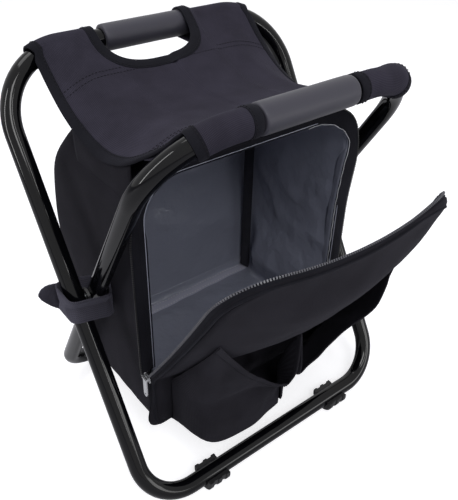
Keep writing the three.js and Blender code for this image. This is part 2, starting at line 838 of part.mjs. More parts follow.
// Assembly: bag
const layers = [
  { name: 'cover', from: 0, thickness: coverThickness, material: wovenFabric },
  { name: 'foam', from: coverThickness + clearance, thickness: foamThickness, material: insulation },
  { name: 'lining', from: wallStack - liningThickness, thickness: liningThickness, material: liningFilm },
];
for (const layer of layers) {
  for (const panel of bagPanels(layer.from, layer.thickness)) {
    addPiece(`bag_${layer.name}_${panel.name}`, panel.geometry, layer.material);
  }
}
for (const { name, sign } of sides) {
  addPiece(`side_web_${name}`, sideWeb(sign), wovenFabric);
  addPiece(`tie_strap_${name}`, tieStrap(sign), webbing);
  addPiece(`pocket_${name}`, pocket(sign), wovenFabric);
}
const beadFront = openingFront + clearance;
addPiece('opening_zip', openingBand(0, zipBeadWidth, beadFront, beadFront + zipBeadDepth), zipTeeth);

// Assembly: door, built closed and then leaned forward about its lower edge
const doorHinge = new THREE.Group();
doorHinge.position.set(0, coverFace, zipEndHeight);
doorHinge.rotation.x = doorLean;
stool.add(doorHinge);
const door = new THREE.Group();
door.position.set(0, -coverFace, -zipEndHeight);
doorHinge.add(door);
const foamFront = coverFace + coverThickness + clearance;
const foamBack = foamFront + foamThickness;
const liningFront = foamBack + clearance;
const beadBack = openingFront - clearance;
const gussetBack = beadBack - zipBeadDepth - clearance;
const insideGusset = coverThickness + clearance;
addPiece('door_cover', doorPlate(0, coverFace, coverFace + coverThickness), wovenFabric, door);
addPiece('door_foam', doorPlate(insideGusset, foamFront, foamBack), insulation, door);
addPiece('door_lining', doorPlate(insideGusset, liningFront, liningFront + liningThickness), liningFilm, door);
addPiece('door_gusset', openingBand(0, coverThickness, foamFront, gussetBack), wovenFabric, door);
addPiece('door_zip', openingBand(0, zipBeadWidth, beadBack - zipBeadDepth, beadBack), zipTeeth, door);

// Assembly: slider and pull tab at the left end of the zip
addPiece('zip_slider', zipSlider(), castZinc);
addPiece('pull_tab', pullTab(), castZinc);

// The middle of the whole, door included, comes over the origin.
const part = new THREE.Group();
part.add(stool);
const reach = new THREE.Box3().setFromObject(stool, true);
stool.position.y = -(reach.min.y + reach.max.y) / 2;

export default part;
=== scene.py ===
# %% [markdown]
# # Folding cooler stool
# A small stool: two crossed loops of painted steel tube carry a slung cloth seat, and an insulated
# bag with a zipped door hangs between them. The CAD part already has every piece at its true size.
# This script dresses that part: it replaces each plain solid by a finer mesh with cloth folds,
# bound edges and stitches, gives it a real finish, and lights it like a studio shot.

import json
import math

import bmesh
import bpy
from mathutils import Matrix, Vector, noise


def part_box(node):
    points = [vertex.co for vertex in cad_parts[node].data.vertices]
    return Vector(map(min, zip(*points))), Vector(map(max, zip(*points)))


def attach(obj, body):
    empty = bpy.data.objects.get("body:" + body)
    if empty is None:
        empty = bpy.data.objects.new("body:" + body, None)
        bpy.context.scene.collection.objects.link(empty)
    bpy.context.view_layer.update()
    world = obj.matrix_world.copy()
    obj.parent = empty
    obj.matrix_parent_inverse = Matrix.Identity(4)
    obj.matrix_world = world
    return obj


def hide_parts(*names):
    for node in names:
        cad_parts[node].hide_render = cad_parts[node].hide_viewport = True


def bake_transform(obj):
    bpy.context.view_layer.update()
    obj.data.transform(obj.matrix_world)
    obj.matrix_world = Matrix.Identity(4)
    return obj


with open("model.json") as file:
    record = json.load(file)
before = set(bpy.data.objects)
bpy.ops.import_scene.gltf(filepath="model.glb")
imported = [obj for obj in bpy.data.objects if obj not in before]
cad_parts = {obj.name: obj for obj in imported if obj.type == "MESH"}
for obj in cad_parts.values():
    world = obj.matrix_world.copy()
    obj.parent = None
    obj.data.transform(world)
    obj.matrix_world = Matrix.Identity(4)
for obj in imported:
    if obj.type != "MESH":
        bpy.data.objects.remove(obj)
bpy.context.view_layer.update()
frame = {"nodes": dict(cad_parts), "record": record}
joints = {joint["name"]: joint for joint in frame["record"]["behaviour"]["joints"]}
pivot = Vector(joints["fold"]["pos_m"])
print("pivot", tuple(pivot), "nodes", len(frame["nodes"]))

# %% [markdown]
# ## Sizes
# Lengths are written in millimetres, as a maker would, and turned into metres in one place.
# Y is measured from the pivots, which the frame gives, so the dressing follows the part.

# %% Sizes of the frames and the cloth
MM = 0.001
TUBE = 9.0
TOP_BEND = 68.0
FOOT_BEND = 48.0
HALF_DEPTH = 116.5
SEAT_HEIGHT = 404.0
BAR_HEIGHT = 14.7
OUTER_LEG = 162.0
INNER_LEG = 140.6
LOOP_LENGTH = math.hypot(2 * HALF_DEPTH, SEAT_HEIGHT - BAR_HEIGHT)
TILT_SINE = 2 * HALF_DEPTH / LOOP_LENGTH
TILT_COSINE = (SEAT_HEIGHT - BAR_HEIGHT) / LOOP_LENGTH
PIVOT_HEIGHT = pivot.z / MM
BAG_SIDE = 125.0
BAG_LOW = 66.0
BAG_HIGH = 354.0
BAG_BACK = 97.0
ZIP_PLANE = -62.0
COVER_FACE = -75.0
HINGE = 130.0
DOOR_LEAN = math.radians(35)
WALL = 6.0
LEFT_RIGHT = (("left", -1), ("right", 1))


def place(x, y, z):
    """A point of the part in metres, from millimetres with y counted from the pivots."""
    return Vector((x * MM, y * MM + pivot.y, z * MM))


def smooth(value, low=0.0, high=1.0):
    share = min(1.0, max(0.0, (value - low) / (high - low)))
    return share * share * (3 - 2 * share)


def mix(a, b, share):
    return a + (b - a) * share


print("loop length", round(LOOP_LENGTH, 1), "pivot height", round(PIVOT_HEIGHT, 1))

# %% [markdown]
# ## The camera
# The camera was found from the photograph by matching the two tube loops, so its place and its
# turn are plain numbers: three directions, for right, up and back, and one point.

# %% Camera
CAMERA_PLACE = (-337.6, -444.3, 598.3)
CAMERA_RIGHT = Vector((0.787, -0.6167, 0.0203))
CAMERA_BACK = Vector((-0.5105, -0.6323, 0.5828))
LENS = 45.79

scene = bpy.context.scene
camera_data = bpy.data.cameras.new("camera")
camera_data.lens = LENS
camera_data.sensor_width = 36.0
camera_data.clip_start = 0.01
camera = bpy.data.objects.new("camera", camera_data)
scene.collection.objects.link(camera)
scene.camera = camera
back = CAMERA_BACK.normalized()
up = back.cross(CAMERA_RIGHT).normalized()
right = up.cross(back)
turned = Matrix((right, up, back)).transposed().to_4x4()
camera.matrix_world = Matrix.Translation(place(*CAMERA_PLACE)) @ turned
print("camera", [round(v, 3) for v in camera.matrix_world.translation])

# %% [markdown]
# ## Finishes
# Every finish starts from the real material. Colours are written as the sRGB hex value that a
# colour picker shows, and one function turns them into the linear numbers that Blender uses.


# %% Helpers for finishes
def linear(hex_colour):
    parts = [int(hex_colour[i:i + 2], 16) / 255 for i in (1, 3, 5)]
    return tuple(p / 12.92 if p <= 0.04045 else ((p + 0.055) / 1.055) ** 2.4 for p in parts) + (1.0,)


def add_node(tree, kind, settings=None, links=None):
    made = tree.nodes.new(kind)
    for name, value in (settings or {}).items():
        if isinstance(name, int) or name in made.inputs:
            made.inputs[name].default_value = value
        else:
            setattr(made, name, value)
    for name, source in (links or {}).items():
        tree.links.new(source, made.inputs[name])
    return made


def new_finish(name, settings):
    made = bpy.data.materials.new(name)
    made.use_nodes = True
    shader = made.node_tree.nodes["Principled BSDF"]
    for socket, value in settings.items():
        shader.inputs[socket].default_value = value
    return made, made.node_tree, shader


def wave_scale(period_mm):
    """Blender's wave texture repeats every pi / 10 units at scale 1."""
    return math.pi / 10 / (period_mm * MM)


# %% [markdown]
# Oxford cloth of black polyester: a plain weave whose threads are under a millimetre, so they
# would blur at this distance; here they are drawn at 1.3 mm to keep the grain visible. The
# threads stand up a little and catch a soft violet grey light at a low angle, which is sheen.

# %% Cloth, webbing and thread
WEAVE_PITCH = 1.3
CLOTH_PATCH = 38.0


def woven(name, hex_colour, pitch, grain, sheen, rib=False):
    made, tree, shader = new_finish(name, {
        "Roughness": 0.82, "Sheen Weight": sheen, "Sheen Roughness": 0.45,
        "Sheen Tint": linear("#c4c2d8"), "Specular IOR Level": 0.05,
    })
    flat = add_node(tree, "ShaderNodeUVMap", {"uv_map": "flat"})
    across, along = (add_node(tree, "ShaderNodeTexWave", {
        "bands_direction": axis, "Scale": wave_scale(pitch), "Distortion": 0.6, "Detail": 1.0,
    }, {"Vector": flat.outputs["UV"]}) for axis in "XY")
    crossed = add_node(tree, "ShaderNodeMath", {"operation": "MAXIMUM" if rib else "MULTIPLY"},
                       {0: across.outputs["Fac"], 1: along.outputs["Fac"]})
    at = add_node(tree, "ShaderNodeTexCoord")
    patches = add_node(tree, "ShaderNodeTexNoise", {
        "Scale": 1 / (CLOTH_PATCH * MM), "Detail": 4.0, "Roughness": 0.6,
    }, {"Vector": at.outputs["Object"]})
    shade = add_node(tree, "ShaderNodeMapRange", {
        "From Min": 0.35, "From Max": 0.7, "To Min": 0.82, "To Max": 1.2,
    }, {"Value": patches.outputs["Fac"]})
    grain_shade = add_node(tree, "ShaderNodeMapRange", {
        "From Min": 0.0, "From Max": 1.0, "To Min": 1 - grain, "To Max": 1 + grain,
    }, {"Value": crossed.outputs["Value"]})
    both = add_node(tree, "ShaderNodeMath", {"operation": "MULTIPLY"},
                    {0: shade.outputs["Result"], 1: grain_shade.outputs["Result"]})
    colour = add_node(tree, "ShaderNodeVectorMath", {"operation": "SCALE", 0: linear(hex_colour)[:3]},
                      {"Scale": both.outputs["Value"]})
    tree.links.new(colour.outputs["Vector"], shader.inputs["Base Color"])
    bump = add_node(tree, "ShaderNodeBump", {"Strength": 0.5, "Distance": 0.25 * MM},
                    {"Height": crossed.outputs["Value"]})
    tree.links.new(bump.outputs["Normal"], shader.inputs["Normal"])
    return made


CLOTH = woven("Black Oxford polyester cloth, plain weave", "#1e1d22", WEAVE_PITCH, 0.35, 0.03)
# The seat is the same black cloth as the bag, painted lighter: its lighter colour is painted light, for the
# lamps above falling on the seat more than on the bag's sides.
TOP_LIT_SEAT_CLOTH = woven("Black heavy polyester cloth of the seat, plain weave", "#2e2c36", WEAVE_PITCH, 0.35, 0.04)
TAPE = woven("Black polyester binding tape, woven", "#17171c", 0.9, 0.2, 0.04)
WEBBING = woven("Black polyester webbing, ribbed weave", "#34333b", 1.6, 0.45, 0.15, rib=True)
# The tape inside the bag is the same black tape, painted lighter: the extra lightness is painted light, for
# light falling into the bag.
INNER_TAPE = woven("Black polyester tape of the inside seams, woven", "#303036", 0.9, 0.2, 0.1)
THREAD, _, _ = new_finish("Black sewing thread, twisted", {
    "Base Color": linear("#131217"), "Roughness": 0.7, "Specular IOR Level": 0.1,
})
print("cloth finishes", CLOTH.name, TAPE.name, WEBBING.name)

# %% [markdown]
# Powder coat on the tube is a smooth gloss paint; the grip is closed-cell foam, matt with fine
# pores; feet are moulded rubber; rivets are satin steel; the slider is cast zinc with a bright
# plating. The bag's lining is blue grey plastic film, creased and half shiny.

# %% Paint, foam, rubber, metal and film
PAINT, _, _ = new_finish("Gloss black powder coat on steel tube", {
    "Base Color": linear("#050507"), "Roughness": 0.08, "Specular IOR Level": 0.22,
})


def mottled(name, settings, period, depth, share, detail=3.0):
    """A finish with an even bump of pores, creases or cast skin of that real period."""
    made, tree, shader = new_finish(name, settings)
    at = add_node(tree, "ShaderNodeTexCoord")
    pores = add_node(tree, "ShaderNodeTexNoise", {"Scale": 1 / (period * MM), "Detail": detail},
                     {"Vector": at.outputs["Object"]})
    bump = add_node(tree, "ShaderNodeBump", {"Strength": share, "Distance": depth * MM},
                    {"Height": pores.outputs["Fac"]})
    tree.links.new(bump.outputs["Normal"], shader.inputs["Normal"])
    return made


GRIP_FOAM = mottled("Dark grey closed-cell foam, moulded sleeve", {
    "Base Color": linear("#2c2b34"), "Roughness": 0.5, "Specular IOR Level": 0.3,
    "Sheen Weight": 0.08,
}, 1.1, 0.12, 0.35)
RUBBER = mottled("Black rubber, moulded", {"Base Color": linear("#121214"), "Roughness": 0.55},
                 1.5, 0.1, 0.3)
RIVET_STEEL = mottled("Satin steel, cold headed", {
    "Base Color": linear("#8c8e92"), "Metallic": 1.0, "Roughness": 0.35,
}, 0.8, 0.05, 0.2)
NYLON = mottled("Black nylon, moulded", {"Base Color": linear("#18181a"), "Roughness": 0.5},
                1.0, 0.05, 0.2)
ZINC = mottled("Cast zinc with bright plating", {
    "Base Color": linear("#c3c4c6"), "Metallic": 1.0, "Roughness": 0.22,
}, 0.9, 0.05, 0.25)
TEETH = mottled("Black polyester coil teeth, moulded", {
    "Base Color": linear("#3f3f45"), "Roughness": 0.4,
}, 0.8, 0.05, 0.2)
FILM = mottled("Blue grey insulating film, laminated and creased", {
    "Base Color": linear("#7c7f8d"), "Roughness": 0.27, "Specular IOR Level": 0.7,
    "Coat Weight": 0.3, "Coat Roughness": 0.16,
}, 19.0, 3.4, 0.85, 4.0)
FLAP = mottled("Grey polyester tape with film face, stitched", {
    "Base Color": linear("#9293a2"), "Roughness": 0.5, "Specular IOR Level": 0.4,
}, 2.2, 0.25, 0.5)
FILM_EDGE = mottled("Pale cut edge of laminated film", {
    "Base Color": linear("#a5a7ad"), "Roughness": 0.5,
}, 2.0, 0.1, 0.3)
print("other finishes", len(bpy.data.materials))

# %% [markdown]
# ## Meshes from rows of points
# Cloth and tube alike are skins over rows of points. A skin keeps a second map, in metres along
# its rows and columns, so that a weave lies flat on it and follows its bends.


# %% Helpers for meshes
def far(points):
    """Distance along a chain of points, from its start to each of them."""
    run = [0.0]
    for a, b in zip(points, points[1:]):
        run.append(run[-1] + (b - a).length)
    return run


def new_object(name, points, faces, flat, finish, sharp=50):
    mesh = bpy.data.meshes.new(name)
    mesh.from_pydata(points, [], faces)
    layer = mesh.uv_layers.new(name="flat")
    for loop in mesh.loops:
        layer.data[loop.index].uv = flat[loop.vertex_index]
    work = bmesh.new()
    work.from_mesh(mesh)
    bmesh.ops.remove_doubles(work, verts=work.verts, dist=0.02 * MM)
    bmesh.ops.recalc_face_normals(work, faces=work.faces)
    work.to_mesh(mesh)
    work.free()
    mesh.shade_smooth()
    mesh.set_sharp_from_angle(angle=math.radians(sharp))
    mesh.materials.append(finish)
    made = bpy.data.objects.new(name, mesh)
    scene.collection.objects.link(made)
    return made


def dress(made, body, *nodes):
    """Rides a piece on a body, in place of the CAD nodes that it stands for."""
    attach(made, body)
    if nodes:
        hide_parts(*nodes)
    return made


def skin(name, rows, finish, ring=False, chain=False, caps=False, sharp=50):
    """Rows of points joined into a surface. ring closes each row, chain the last row to the first."""
    count = len(rows[0])
    points = [p for row in rows for p in row]
    along = far([row[0] for row in rows])
    middle = far([row[count // 2] for row in rows])
    flat = []
    for i, row in enumerate(rows):
        flat += [(u, (along[i] + middle[i]) / 2) for u in far(row)]
    faces = []
    for i in range(len(rows) if chain else len(rows) - 1):
        here, there = i * count, ((i + 1) % len(rows)) * count
        for k in range(count if ring else count - 1):
            after = (k + 1) % count
            faces.append((here + k, here + after, there + after, there + k))
    if caps:
        faces.append(tuple(range(count))[::-1])
        faces.append(tuple(range((len(rows) - 1) * count, len(rows) * count)))
    return new_object(name, points, faces, flat, finish, sharp)


def set_in_mesh(obj):
    """Puts the result of an object's modifiers into a plain mesh."""
    graph = bpy.context.evaluated_depsgraph_get()
    graph.update()
    mesh = bpy.data.meshes.new_from_object(obj.evaluated_get(graph))
    obj.modifiers.clear()
    obj.data = mesh
    return obj


def thicken(obj, thickness):
    wall = obj.modifiers.new("wall", "SOLIDIFY")
    wall.thickness = thickness * MM
    wall.offset = 0.0
    wall.use_even_offset = False
    wall.use_quality_normals = True
    return set_in_mesh(obj)


def sweep(name, path, normals, section, finish, closed=False, sharp=50):
    """A section of (side, out) points in millimetres carried along a path with given normals."""
    rows = []
    last = len(path) - 1
    for i, point in enumerate(path):
        ahead = path[(i + 1) % len(path)] if closed or i < last else path[i]
        behind = path[i - 1] if closed or i > 0 else path[i]
        tangent = (ahead - behind).normalized()
        side = tangent.cross(normals[i]).normalized()
        out = side.cross(tangent)
        rows.append([point + side * (s * MM) + out * (o * MM) for s, o in section])
    return skin(name, rows, finish, ring=True, chain=closed, caps=not closed, sharp=sharp)


def round_section(radius, count=12):
    return [(radius * math.cos(2 * math.pi * k / count), radius * math.sin(2 * math.pi * k / count))
            for k in range(count)]


def tape_section(half, thick):
    """A flat tape with rounded edges, lying on the path with its top proud of it."""
    edge = thick / 2
    return [(-half, edge), (-half + edge, thick), (half - edge, thick), (half, edge),
            (half - edge, 0.0), (-half + edge, 0.0)]


def uneven(point, period, seed=0.0):
    """Soft unevenness from -1 to 1 with that period in millimetres."""
    return noise.noise(point / (period * MM) + Vector((seed, 2 * seed, 3 * seed)))


print("mesh helpers ready")

# %% [markdown]
# ## Tube loops
# Each loop is one steel tube bent at four corners. It is a circle swept along straight legs and
# quarter bends, with enough steps for the gloss paint to show an unbroken highlight.


# %% Tube loops
class Loop:
    """The axis of one tube loop; lean is 1 for the outer loop and -1 for the inner one."""

    def __init__(self, lean, leg):
        self.lean = lean
        self.leg = leg

    def point(self, across, height):
        return place(across, self.lean * (height * TILT_SINE - HALF_DEPTH), BAR_HEIGHT + height * TILT_COSINE)

    def direction(self, across, height):
        return Vector((across, self.lean * height * TILT_SINE, height * TILT_COSINE))

    def bend(self, sign, angle):
        """Axis and outward direction on a top bend; angle 0 is at the bar."""
        across = self.leg - TOP_BEND + TOP_BEND * math.sin(angle)
        height = LOOP_LENGTH - TOP_BEND + TOP_BEND * math.cos(angle)
        return self.point(sign * across, height), self.direction(sign * math.sin(angle), math.cos(angle))


OUTER = Loop(1, OUTER_LEG)
INNER = Loop(-1, INNER_LEG)
TUBE_SIDES = 40
BEND_STEPS = 18


def loop_path(loop):
    stations = []
    corners = (
        (loop.leg - FOOT_BEND, FOOT_BEND, FOOT_BEND, -90),
        (loop.leg - TOP_BEND, LOOP_LENGTH - TOP_BEND, TOP_BEND, 0),
        (TOP_BEND - loop.leg, LOOP_LENGTH - TOP_BEND, TOP_BEND, 90),
        (FOOT_BEND - loop.leg, FOOT_BEND, FOOT_BEND, 180),
    )
    for across, height, radius, start in corners:
        for step in range(BEND_STEPS + 1):
            angle = math.radians(start + 90 * step / BEND_STEPS)
            x, y = math.cos(angle), math.sin(angle)
            stations.append((loop.point(across + radius * x, height + radius * y), loop.direction(x, y)))
    return stations


def tube_loop(name, loop, node, body):
    rows = []
    sideways = Vector((0, loop.lean * TILT_COSINE, -TILT_SINE))
    for centre, outward in loop_path(loop):
        rows.append([centre + (outward * math.cos(a) + sideways * math.sin(a)) * (TUBE * MM)
                     for a in (2 * math.pi * k / TUBE_SIDES for k in range(TUBE_SIDES))])
    dress(skin(name, rows, PAINT, ring=True, chain=True), body, node)


tube_loop("outer_loop", OUTER, "outer_frame_tube", "outer_frame")
tube_loop("inner_loop", INNER, "inner_frame_tube", "inner_frame")
print("tube loops", len(loop_path(OUTER)), "stations each")

# %% [markdown]
# ## Foam grips
# A grip is a short foam tube pulled over the bar. Its ends are cut square and lightly rounded, so
# the outline turns in near each end and closes on the tube.

# %% Foam grips
GRIP_RADIUS = 13.0
GRIP_HALF = 50.0
GRIP_PROFILE = ((-50.0, 9.3), (-50.0, 11.9), (-49.2, 12.7), (-47.5, 13.0))


def grip(name, loop, node, body):
    profile = list(GRIP_PROFILE) + [(-47.5 + 95.0 * k / 12, GRIP_RADIUS) for k in range(1, 12)]
    profile += [(-x, r) for x, r in reversed(GRIP_PROFILE)]
    rows = []
    for x, radius in profile:
        centre = loop.point(x, LOOP_LENGTH)
        row = []
        for k in range(TUBE_SIDES):
            angle = 2 * math.pi * k / TUBE_SIDES
            out = Vector((0, math.cos(angle), math.sin(angle)))
            swell = 0.12 * uneven(centre + out * 0.01, 22) if radius > 12 else 0
            row.append(centre + out * ((radius + swell) * MM))
        rows.append(row)
    made = dress(skin(name, rows, GRIP_FOAM, ring=True, chain=True), body, node)


grip("rear_foam_grip", OUTER, "rear_grip", "outer_frame")
grip("front_foam_grip", INNER, "front_grip", "inner_frame")
print("grips", 2 * GRIP_HALF, "mm long")

# %% [markdown]
# ## The seat
# The seat is one cloth. Beside each grip it runs over the bar, round it and back under itself to a
# stitched seam, which makes the sleeve, and at each grip it is cut away in a curve for the hand.
# So it is built as columns that follow that route. Near the cut-outs the columns crowd together,
# as a sine does, because there the edge turns steeply.

# %% Seat: the route of the cloth
SLEEVE = 11.6
HALF_SPAN = 109.0
SEAT_DROP = 43.0
SEAT_EDGE_DROP = 56.0
FLAP_START = 78.0
CUT_POWER = 2.6
SEAM_AT = 72.0
FRONT_SHIFT = 15.0
END_LIFT = 4.0
END_GROWTH = 2.0
OVER_GRIP = 3.0


def narrowed(x, share):
    """Draws in the cloth's left front corner, as the inner loop is narrower; share is -1 at the front."""
    return x + FRONT_SHIFT * smooth(-x, 55, 125) * smooth(-share, 0.4, 1.0)


class Sleeve:
    """The cloth round one top bar, at a given place across the stool."""

    def __init__(self, loop, x):
        if loop is INNER:
            x = narrowed(x, -1)
        self.radius = SLEEVE
        if loop is OUTER and 0 < x < 60:
            self.radius += OVER_GRIP * smooth(-x, -57, -49)
        sign = math.copysign(1, x)
        beyond = max(0.0, abs(x) - (loop.leg - TOP_BEND))
        angle = math.asin(min(0.9, beyond / (TOP_BEND + 0.8 * SLEEVE)))
        if beyond > 0:
            self.centre, _ = loop.bend(sign, angle)
            tangent = loop.direction(sign * math.cos(angle), -math.sin(angle)).normalized()
        else:
            self.centre = loop.point(x, LOOP_LENGTH)
            tangent = Vector((1, 0, 0))
        up_axis = Vector((0, 0, 1))
        self.top = (up_axis - tangent * tangent.z).normalized()
        if loop is INNER and x > 0:
            self.centre = self.centre + up_axis * (END_LIFT * smooth(x, 85, 120) * MM)
            self.radius += END_GROWTH * smooth(x, 85, 120)
        self.inward = tangent.cross(self.top).normalized()
        if self.inward.y * loop.lean > 0:
            self.inward = -self.inward

    def at(self, angle, lift=0.0):
        return self.centre + self.out(angle) * ((self.radius + lift) * MM)

    def out(self, angle):
        return self.top * math.cos(angle) + self.inward * math.sin(angle)


def drop_at(x):
    return mix(SEAT_DROP, SEAT_EDGE_DROP, smooth(abs(x), FLAP_START, BAG_SIDE))


def contact_angle(x):
    return math.atan(2 * drop_at(x) / HALF_SPAN)


def cloth_normal(x, share):
    return Vector((0, -2 * share * drop_at(x) / HALF_SPAN, 1)).normalized()


def span_ends(x):
    """Where the cloth leaves the front bar and the rear bar."""
    angle = contact_angle(x)
    return Sleeve(INNER, x).at(angle), Sleeve(OUTER, x).at(angle)


def seat_point(x, share, lift=0.0):
    """A point of the slung cloth; share runs from -1 at the front bar to 1 at the rear bar."""
    front, rear = span_ends(x)
    middle = front.lerp(rear, (share + 1) / 2)
    middle.x = narrowed(x, share) * MM if abs(share) < 1 else middle.x
    middle.z -= drop_at(x) * (1 - share * share) * MM
    wave = uneven(middle, 46, 1.0) * 1.1 + uneven(middle, 19, 4.0) * 0.35
    return middle + cloth_normal(x, share) * ((lift + wave * (1 - share ** 4)) * MM)


CUTS = {OUTER: (-10.0, 50.0, 36.0), INNER: (0.0, 53.0, 19.0)}


def cut_depth(loop, x, inset=0.0):
    """How far the hand-hold reaches in from the bar at a place across the stool."""
    middle, half, deep = CUTS[loop]
    across = abs(x - middle) / (half + inset)
    return (deep + inset) * (1 - across ** CUT_POWER) ** (1 / CUT_POWER) if across < 1 else 0.0


def share_limits(x):
    return -1 + cut_depth(INNER, x) / HALF_SPAN, 1 - cut_depth(OUTER, x) / HALF_SPAN


SEAT_EDGE = 125.0
CUT_STEPS = 36
COLUMN_GAP = 0.7


def cut_ends(loop):
    middle, half, _ = CUTS[loop]
    return middle - half, middle + half


def seat_columns():
    """Places across the seat: they crowd at the ends of both hand-holds, and those ends are kept exactly."""
    kept = [-SEAT_EDGE, SEAT_EDGE] + [end for loop in CUTS for end in cut_ends(loop)]
    others = [mix(-SEAT_EDGE, SEAT_EDGE, k / 62) for k in range(63)]
    for middle, half, _ in CUTS.values():
        others += [middle - half * math.cos(math.pi * k / CUT_STEPS) for k in range(CUT_STEPS + 1)]
    for x in sorted(others):
        if all(abs(x - other) > COLUMN_GAP for other in kept):
            kept.append(x)
    return sorted(kept)


columns = seat_columns()
SPAN_ROWS = 40
WRAP_STEPS = 22
FLAP_STEPS = 5


def wrap_row(loop, x):
    """The cloth from the stitched seam under the seat, round the bar and up to where it leaves it."""
    sleeve = Sleeve(loop, x)
    start = contact_angle(x)
    turn = [sleeve.at(mix(math.radians(-176), start, k / WRAP_STEPS)) for k in range(WRAP_STEPS + 1)]
    seam = seat_point(x, loop.lean * SEAM_AT / HALF_SPAN, -1.8)
    flap = [seam.lerp(turn[0], k / FLAP_STEPS) for k in range(FLAP_STEPS)]
    return flap + turn


def seat_cloth():
    rows = []
    for x in columns:
        low, high = share_limits(x)
        rows.append([seat_point(x, mix(low, high, k / SPAN_ROWS)) for k in range(SPAN_ROWS + 1)])
    points, faces, flat = [], [], []

    def add(grid, first):
        start = len(points)
        count = len(grid[0])
        for i, row in enumerate(grid):
            points.extend(row)
            x = columns[first + i] * MM
            flat.extend((x, v) for v in far(row))
        for i in range(len(grid) - 1):
            for k in range(count - 1):
                a = start + i * count + k
                faces.append((a, a + 1, a + count + 1, a + count))

    add(rows, 0)
    for loop in (INNER, OUTER):
        left_end, right_end = (columns.index(end) for end in cut_ends(loop))
        for first, last in ((0, left_end), (right_end, len(columns) - 1)):
            add([wrap_row(loop, x) for x in columns[first:last + 1]], first)
    made = new_object("seat_cloth", points, faces, flat, TOP_LIT_SEAT_CLOTH)
    return thicken(made, 1.2)


def seat_blend(made):
    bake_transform(made)
    return made


seat = seat_blend(seat_cloth())
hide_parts("seat_panel", "rear_hem_left", "rear_hem_right", "front_hem_left", "front_hem_right")
seat_wide = far([seat_point(x, 0.5) for x in columns])[-1]
side_lines = [[seat_point(x, mix(*share_limits(x), k / SPAN_ROWS)) for k in range(SPAN_ROWS + 1)]
              for x in (-SEAT_EDGE, SEAT_EDGE)]
seat_long = max(far(line)[-1] + far(wrap_row(OUTER, x))[-1] + far(wrap_row(INNER, x))[-1]
                for x, line in zip((-SEAT_EDGE, SEAT_EDGE), side_lines))
print("seat flat", round(seat_wide / MM), "by", round(seat_long / MM), "mm")
print("seat columns", len(columns), "faces", len(seat.data.polygons))

# %% [markdown]
# Binding tape is folded over every cut edge of the seat and stitched through. It is a strip that
# follows the edge, bends with the cloth under it, and stands one cloth thickness proud.


# %% Seat: bound edges
def binding(name, edge, inner, normals, finish=TAPE, proud=1.3):
    """A tape folded over an edge: edge and inner are its two sides on the cloth's top."""
    rows = []
    for e, i, n in zip(edge, inner, normals):
        out = (e - i).normalized() * (0.9 * MM)
        up_lift = n * (proud * MM)
        mid = e.lerp(i, 0.5)
        rows.append([
            i + up_lift * 0.35, i + up_lift * 0.9, mid + up_lift, e + up_lift, e + out + up_lift * 0.4,
            e + out - up_lift * 0.4, e - up_lift, mid - up_lift, i - up_lift * 0.9, i - up_lift * 0.35,
        ])
    return skin(name, rows, finish, ring=True, caps=True)


def sleeve_end(loop, x, start, steps):
    """Spots, each a point and its way out, from under the bar to where the cloth leaves it."""
    sleeve = Sleeve(loop, x)
    turn = (mix(math.radians(start), contact_angle(x), k / steps) for k in range(steps))
    return [(sleeve.at(angle), sleeve.out(angle)) for angle in turn]


def cut_edge(loop, inset):
    """The hand-hold's edge, from under the bar on one side to under it on the other."""
    centre, half, _ = CUTS[loop]
    half += inset
    spots = sleeve_end(loop, centre - half, -150, 14)
    for k in range(CUT_STEPS + 1):
        x = centre - half * math.cos(math.pi * k / CUT_STEPS)
        share = loop.lean * (1 - cut_depth(loop, x, inset) / HALF_SPAN)
        spots.append((seat_point(x, share), cloth_normal(x, share)))
    return spots + sleeve_end(loop, centre + half, -150, 14)[::-1]


def side_edge(sign, inset):
    """The seat's side edge, from under the front bar to under the rear bar."""
    x = sign * (SEAT_EDGE - inset)
    shares = [mix(-1, 1, k / SPAN_ROWS) for k in range(SPAN_ROWS + 1)]
    span = [(seat_point(x, share), cloth_normal(x, share)) for share in shares]
    return sleeve_end(INNER, x, -170, 16) + span + sleeve_end(OUTER, x, -170, 16)[::-1]


SEAMS = {"seat": [], "pocket": []}
BAND = 9.0
SIDE_BAND = 8.0
SIDE_SEAM = 6.5
THREAD_LIFT = 1.5


def bind_edge(name, edge, inner, seam):
    """Binds one edge of the seat, given as three lines of spots, and keeps the line of its stitches."""
    outs = [n for _, n in edge]
    seat_blend(binding(name, [p for p, _ in edge], [p for p, _ in inner], outs))
    SEAMS["seat"].append([p + n * (THREAD_LIFT * MM) for (p, _), n in zip(seam, outs)])


for name, loop in (("rear", OUTER), ("front", INNER)):
    bind_edge(f"{name}_hand_hold_binding", *(cut_edge(loop, inset) for inset in (0.0, BAND, BAND * 0.8)))
for name, sign in LEFT_RIGHT:
    bind_edge(f"seat_side_binding_{name}", *(side_edge(sign, inset) for inset in (0.0, SIDE_BAND, SIDE_SEAM)))
SEAM_END = 118
for loop in (OUTER, INNER):
    for at in (SEAM_AT, SEAM_AT - 5):
        cut = loop is OUTER and at == SEAM_AT
        for low, high in ((-SEAM_END, -57), (57, SEAM_END)) if cut else ((-SEAM_END, SEAM_END),):
            SEAMS["seat"].append([seat_point(mix(low, high, k / 40), loop.lean * at / HALF_SPAN, 0.9)
                                  for k in range(41)])
print("seat seams", len(SEAMS["seat"]))

# %% [markdown]
# ## The insulated bag
# The bag is a soft box with a rounded top. Its walls are cloth over thin foam, so they bow and
# crease a little. One outline, drawn as lines and arcs, is repeated from the rim to the back and
# shrinks into the rounded shoulder; the same outline, a wall's thickness smaller, is the lining.

# %% Bag: outline and shell
TOP_ROUND = 45.0
LOW_ROUND = 15.0
SHOULDER = 36.0
BACK_BOW = 8.0
BACK_DOME = 2.0
SIDE_BOW = 5.0
HEEL = 14.0
LINE_STEPS = 10
SIDE_STEPS = 44


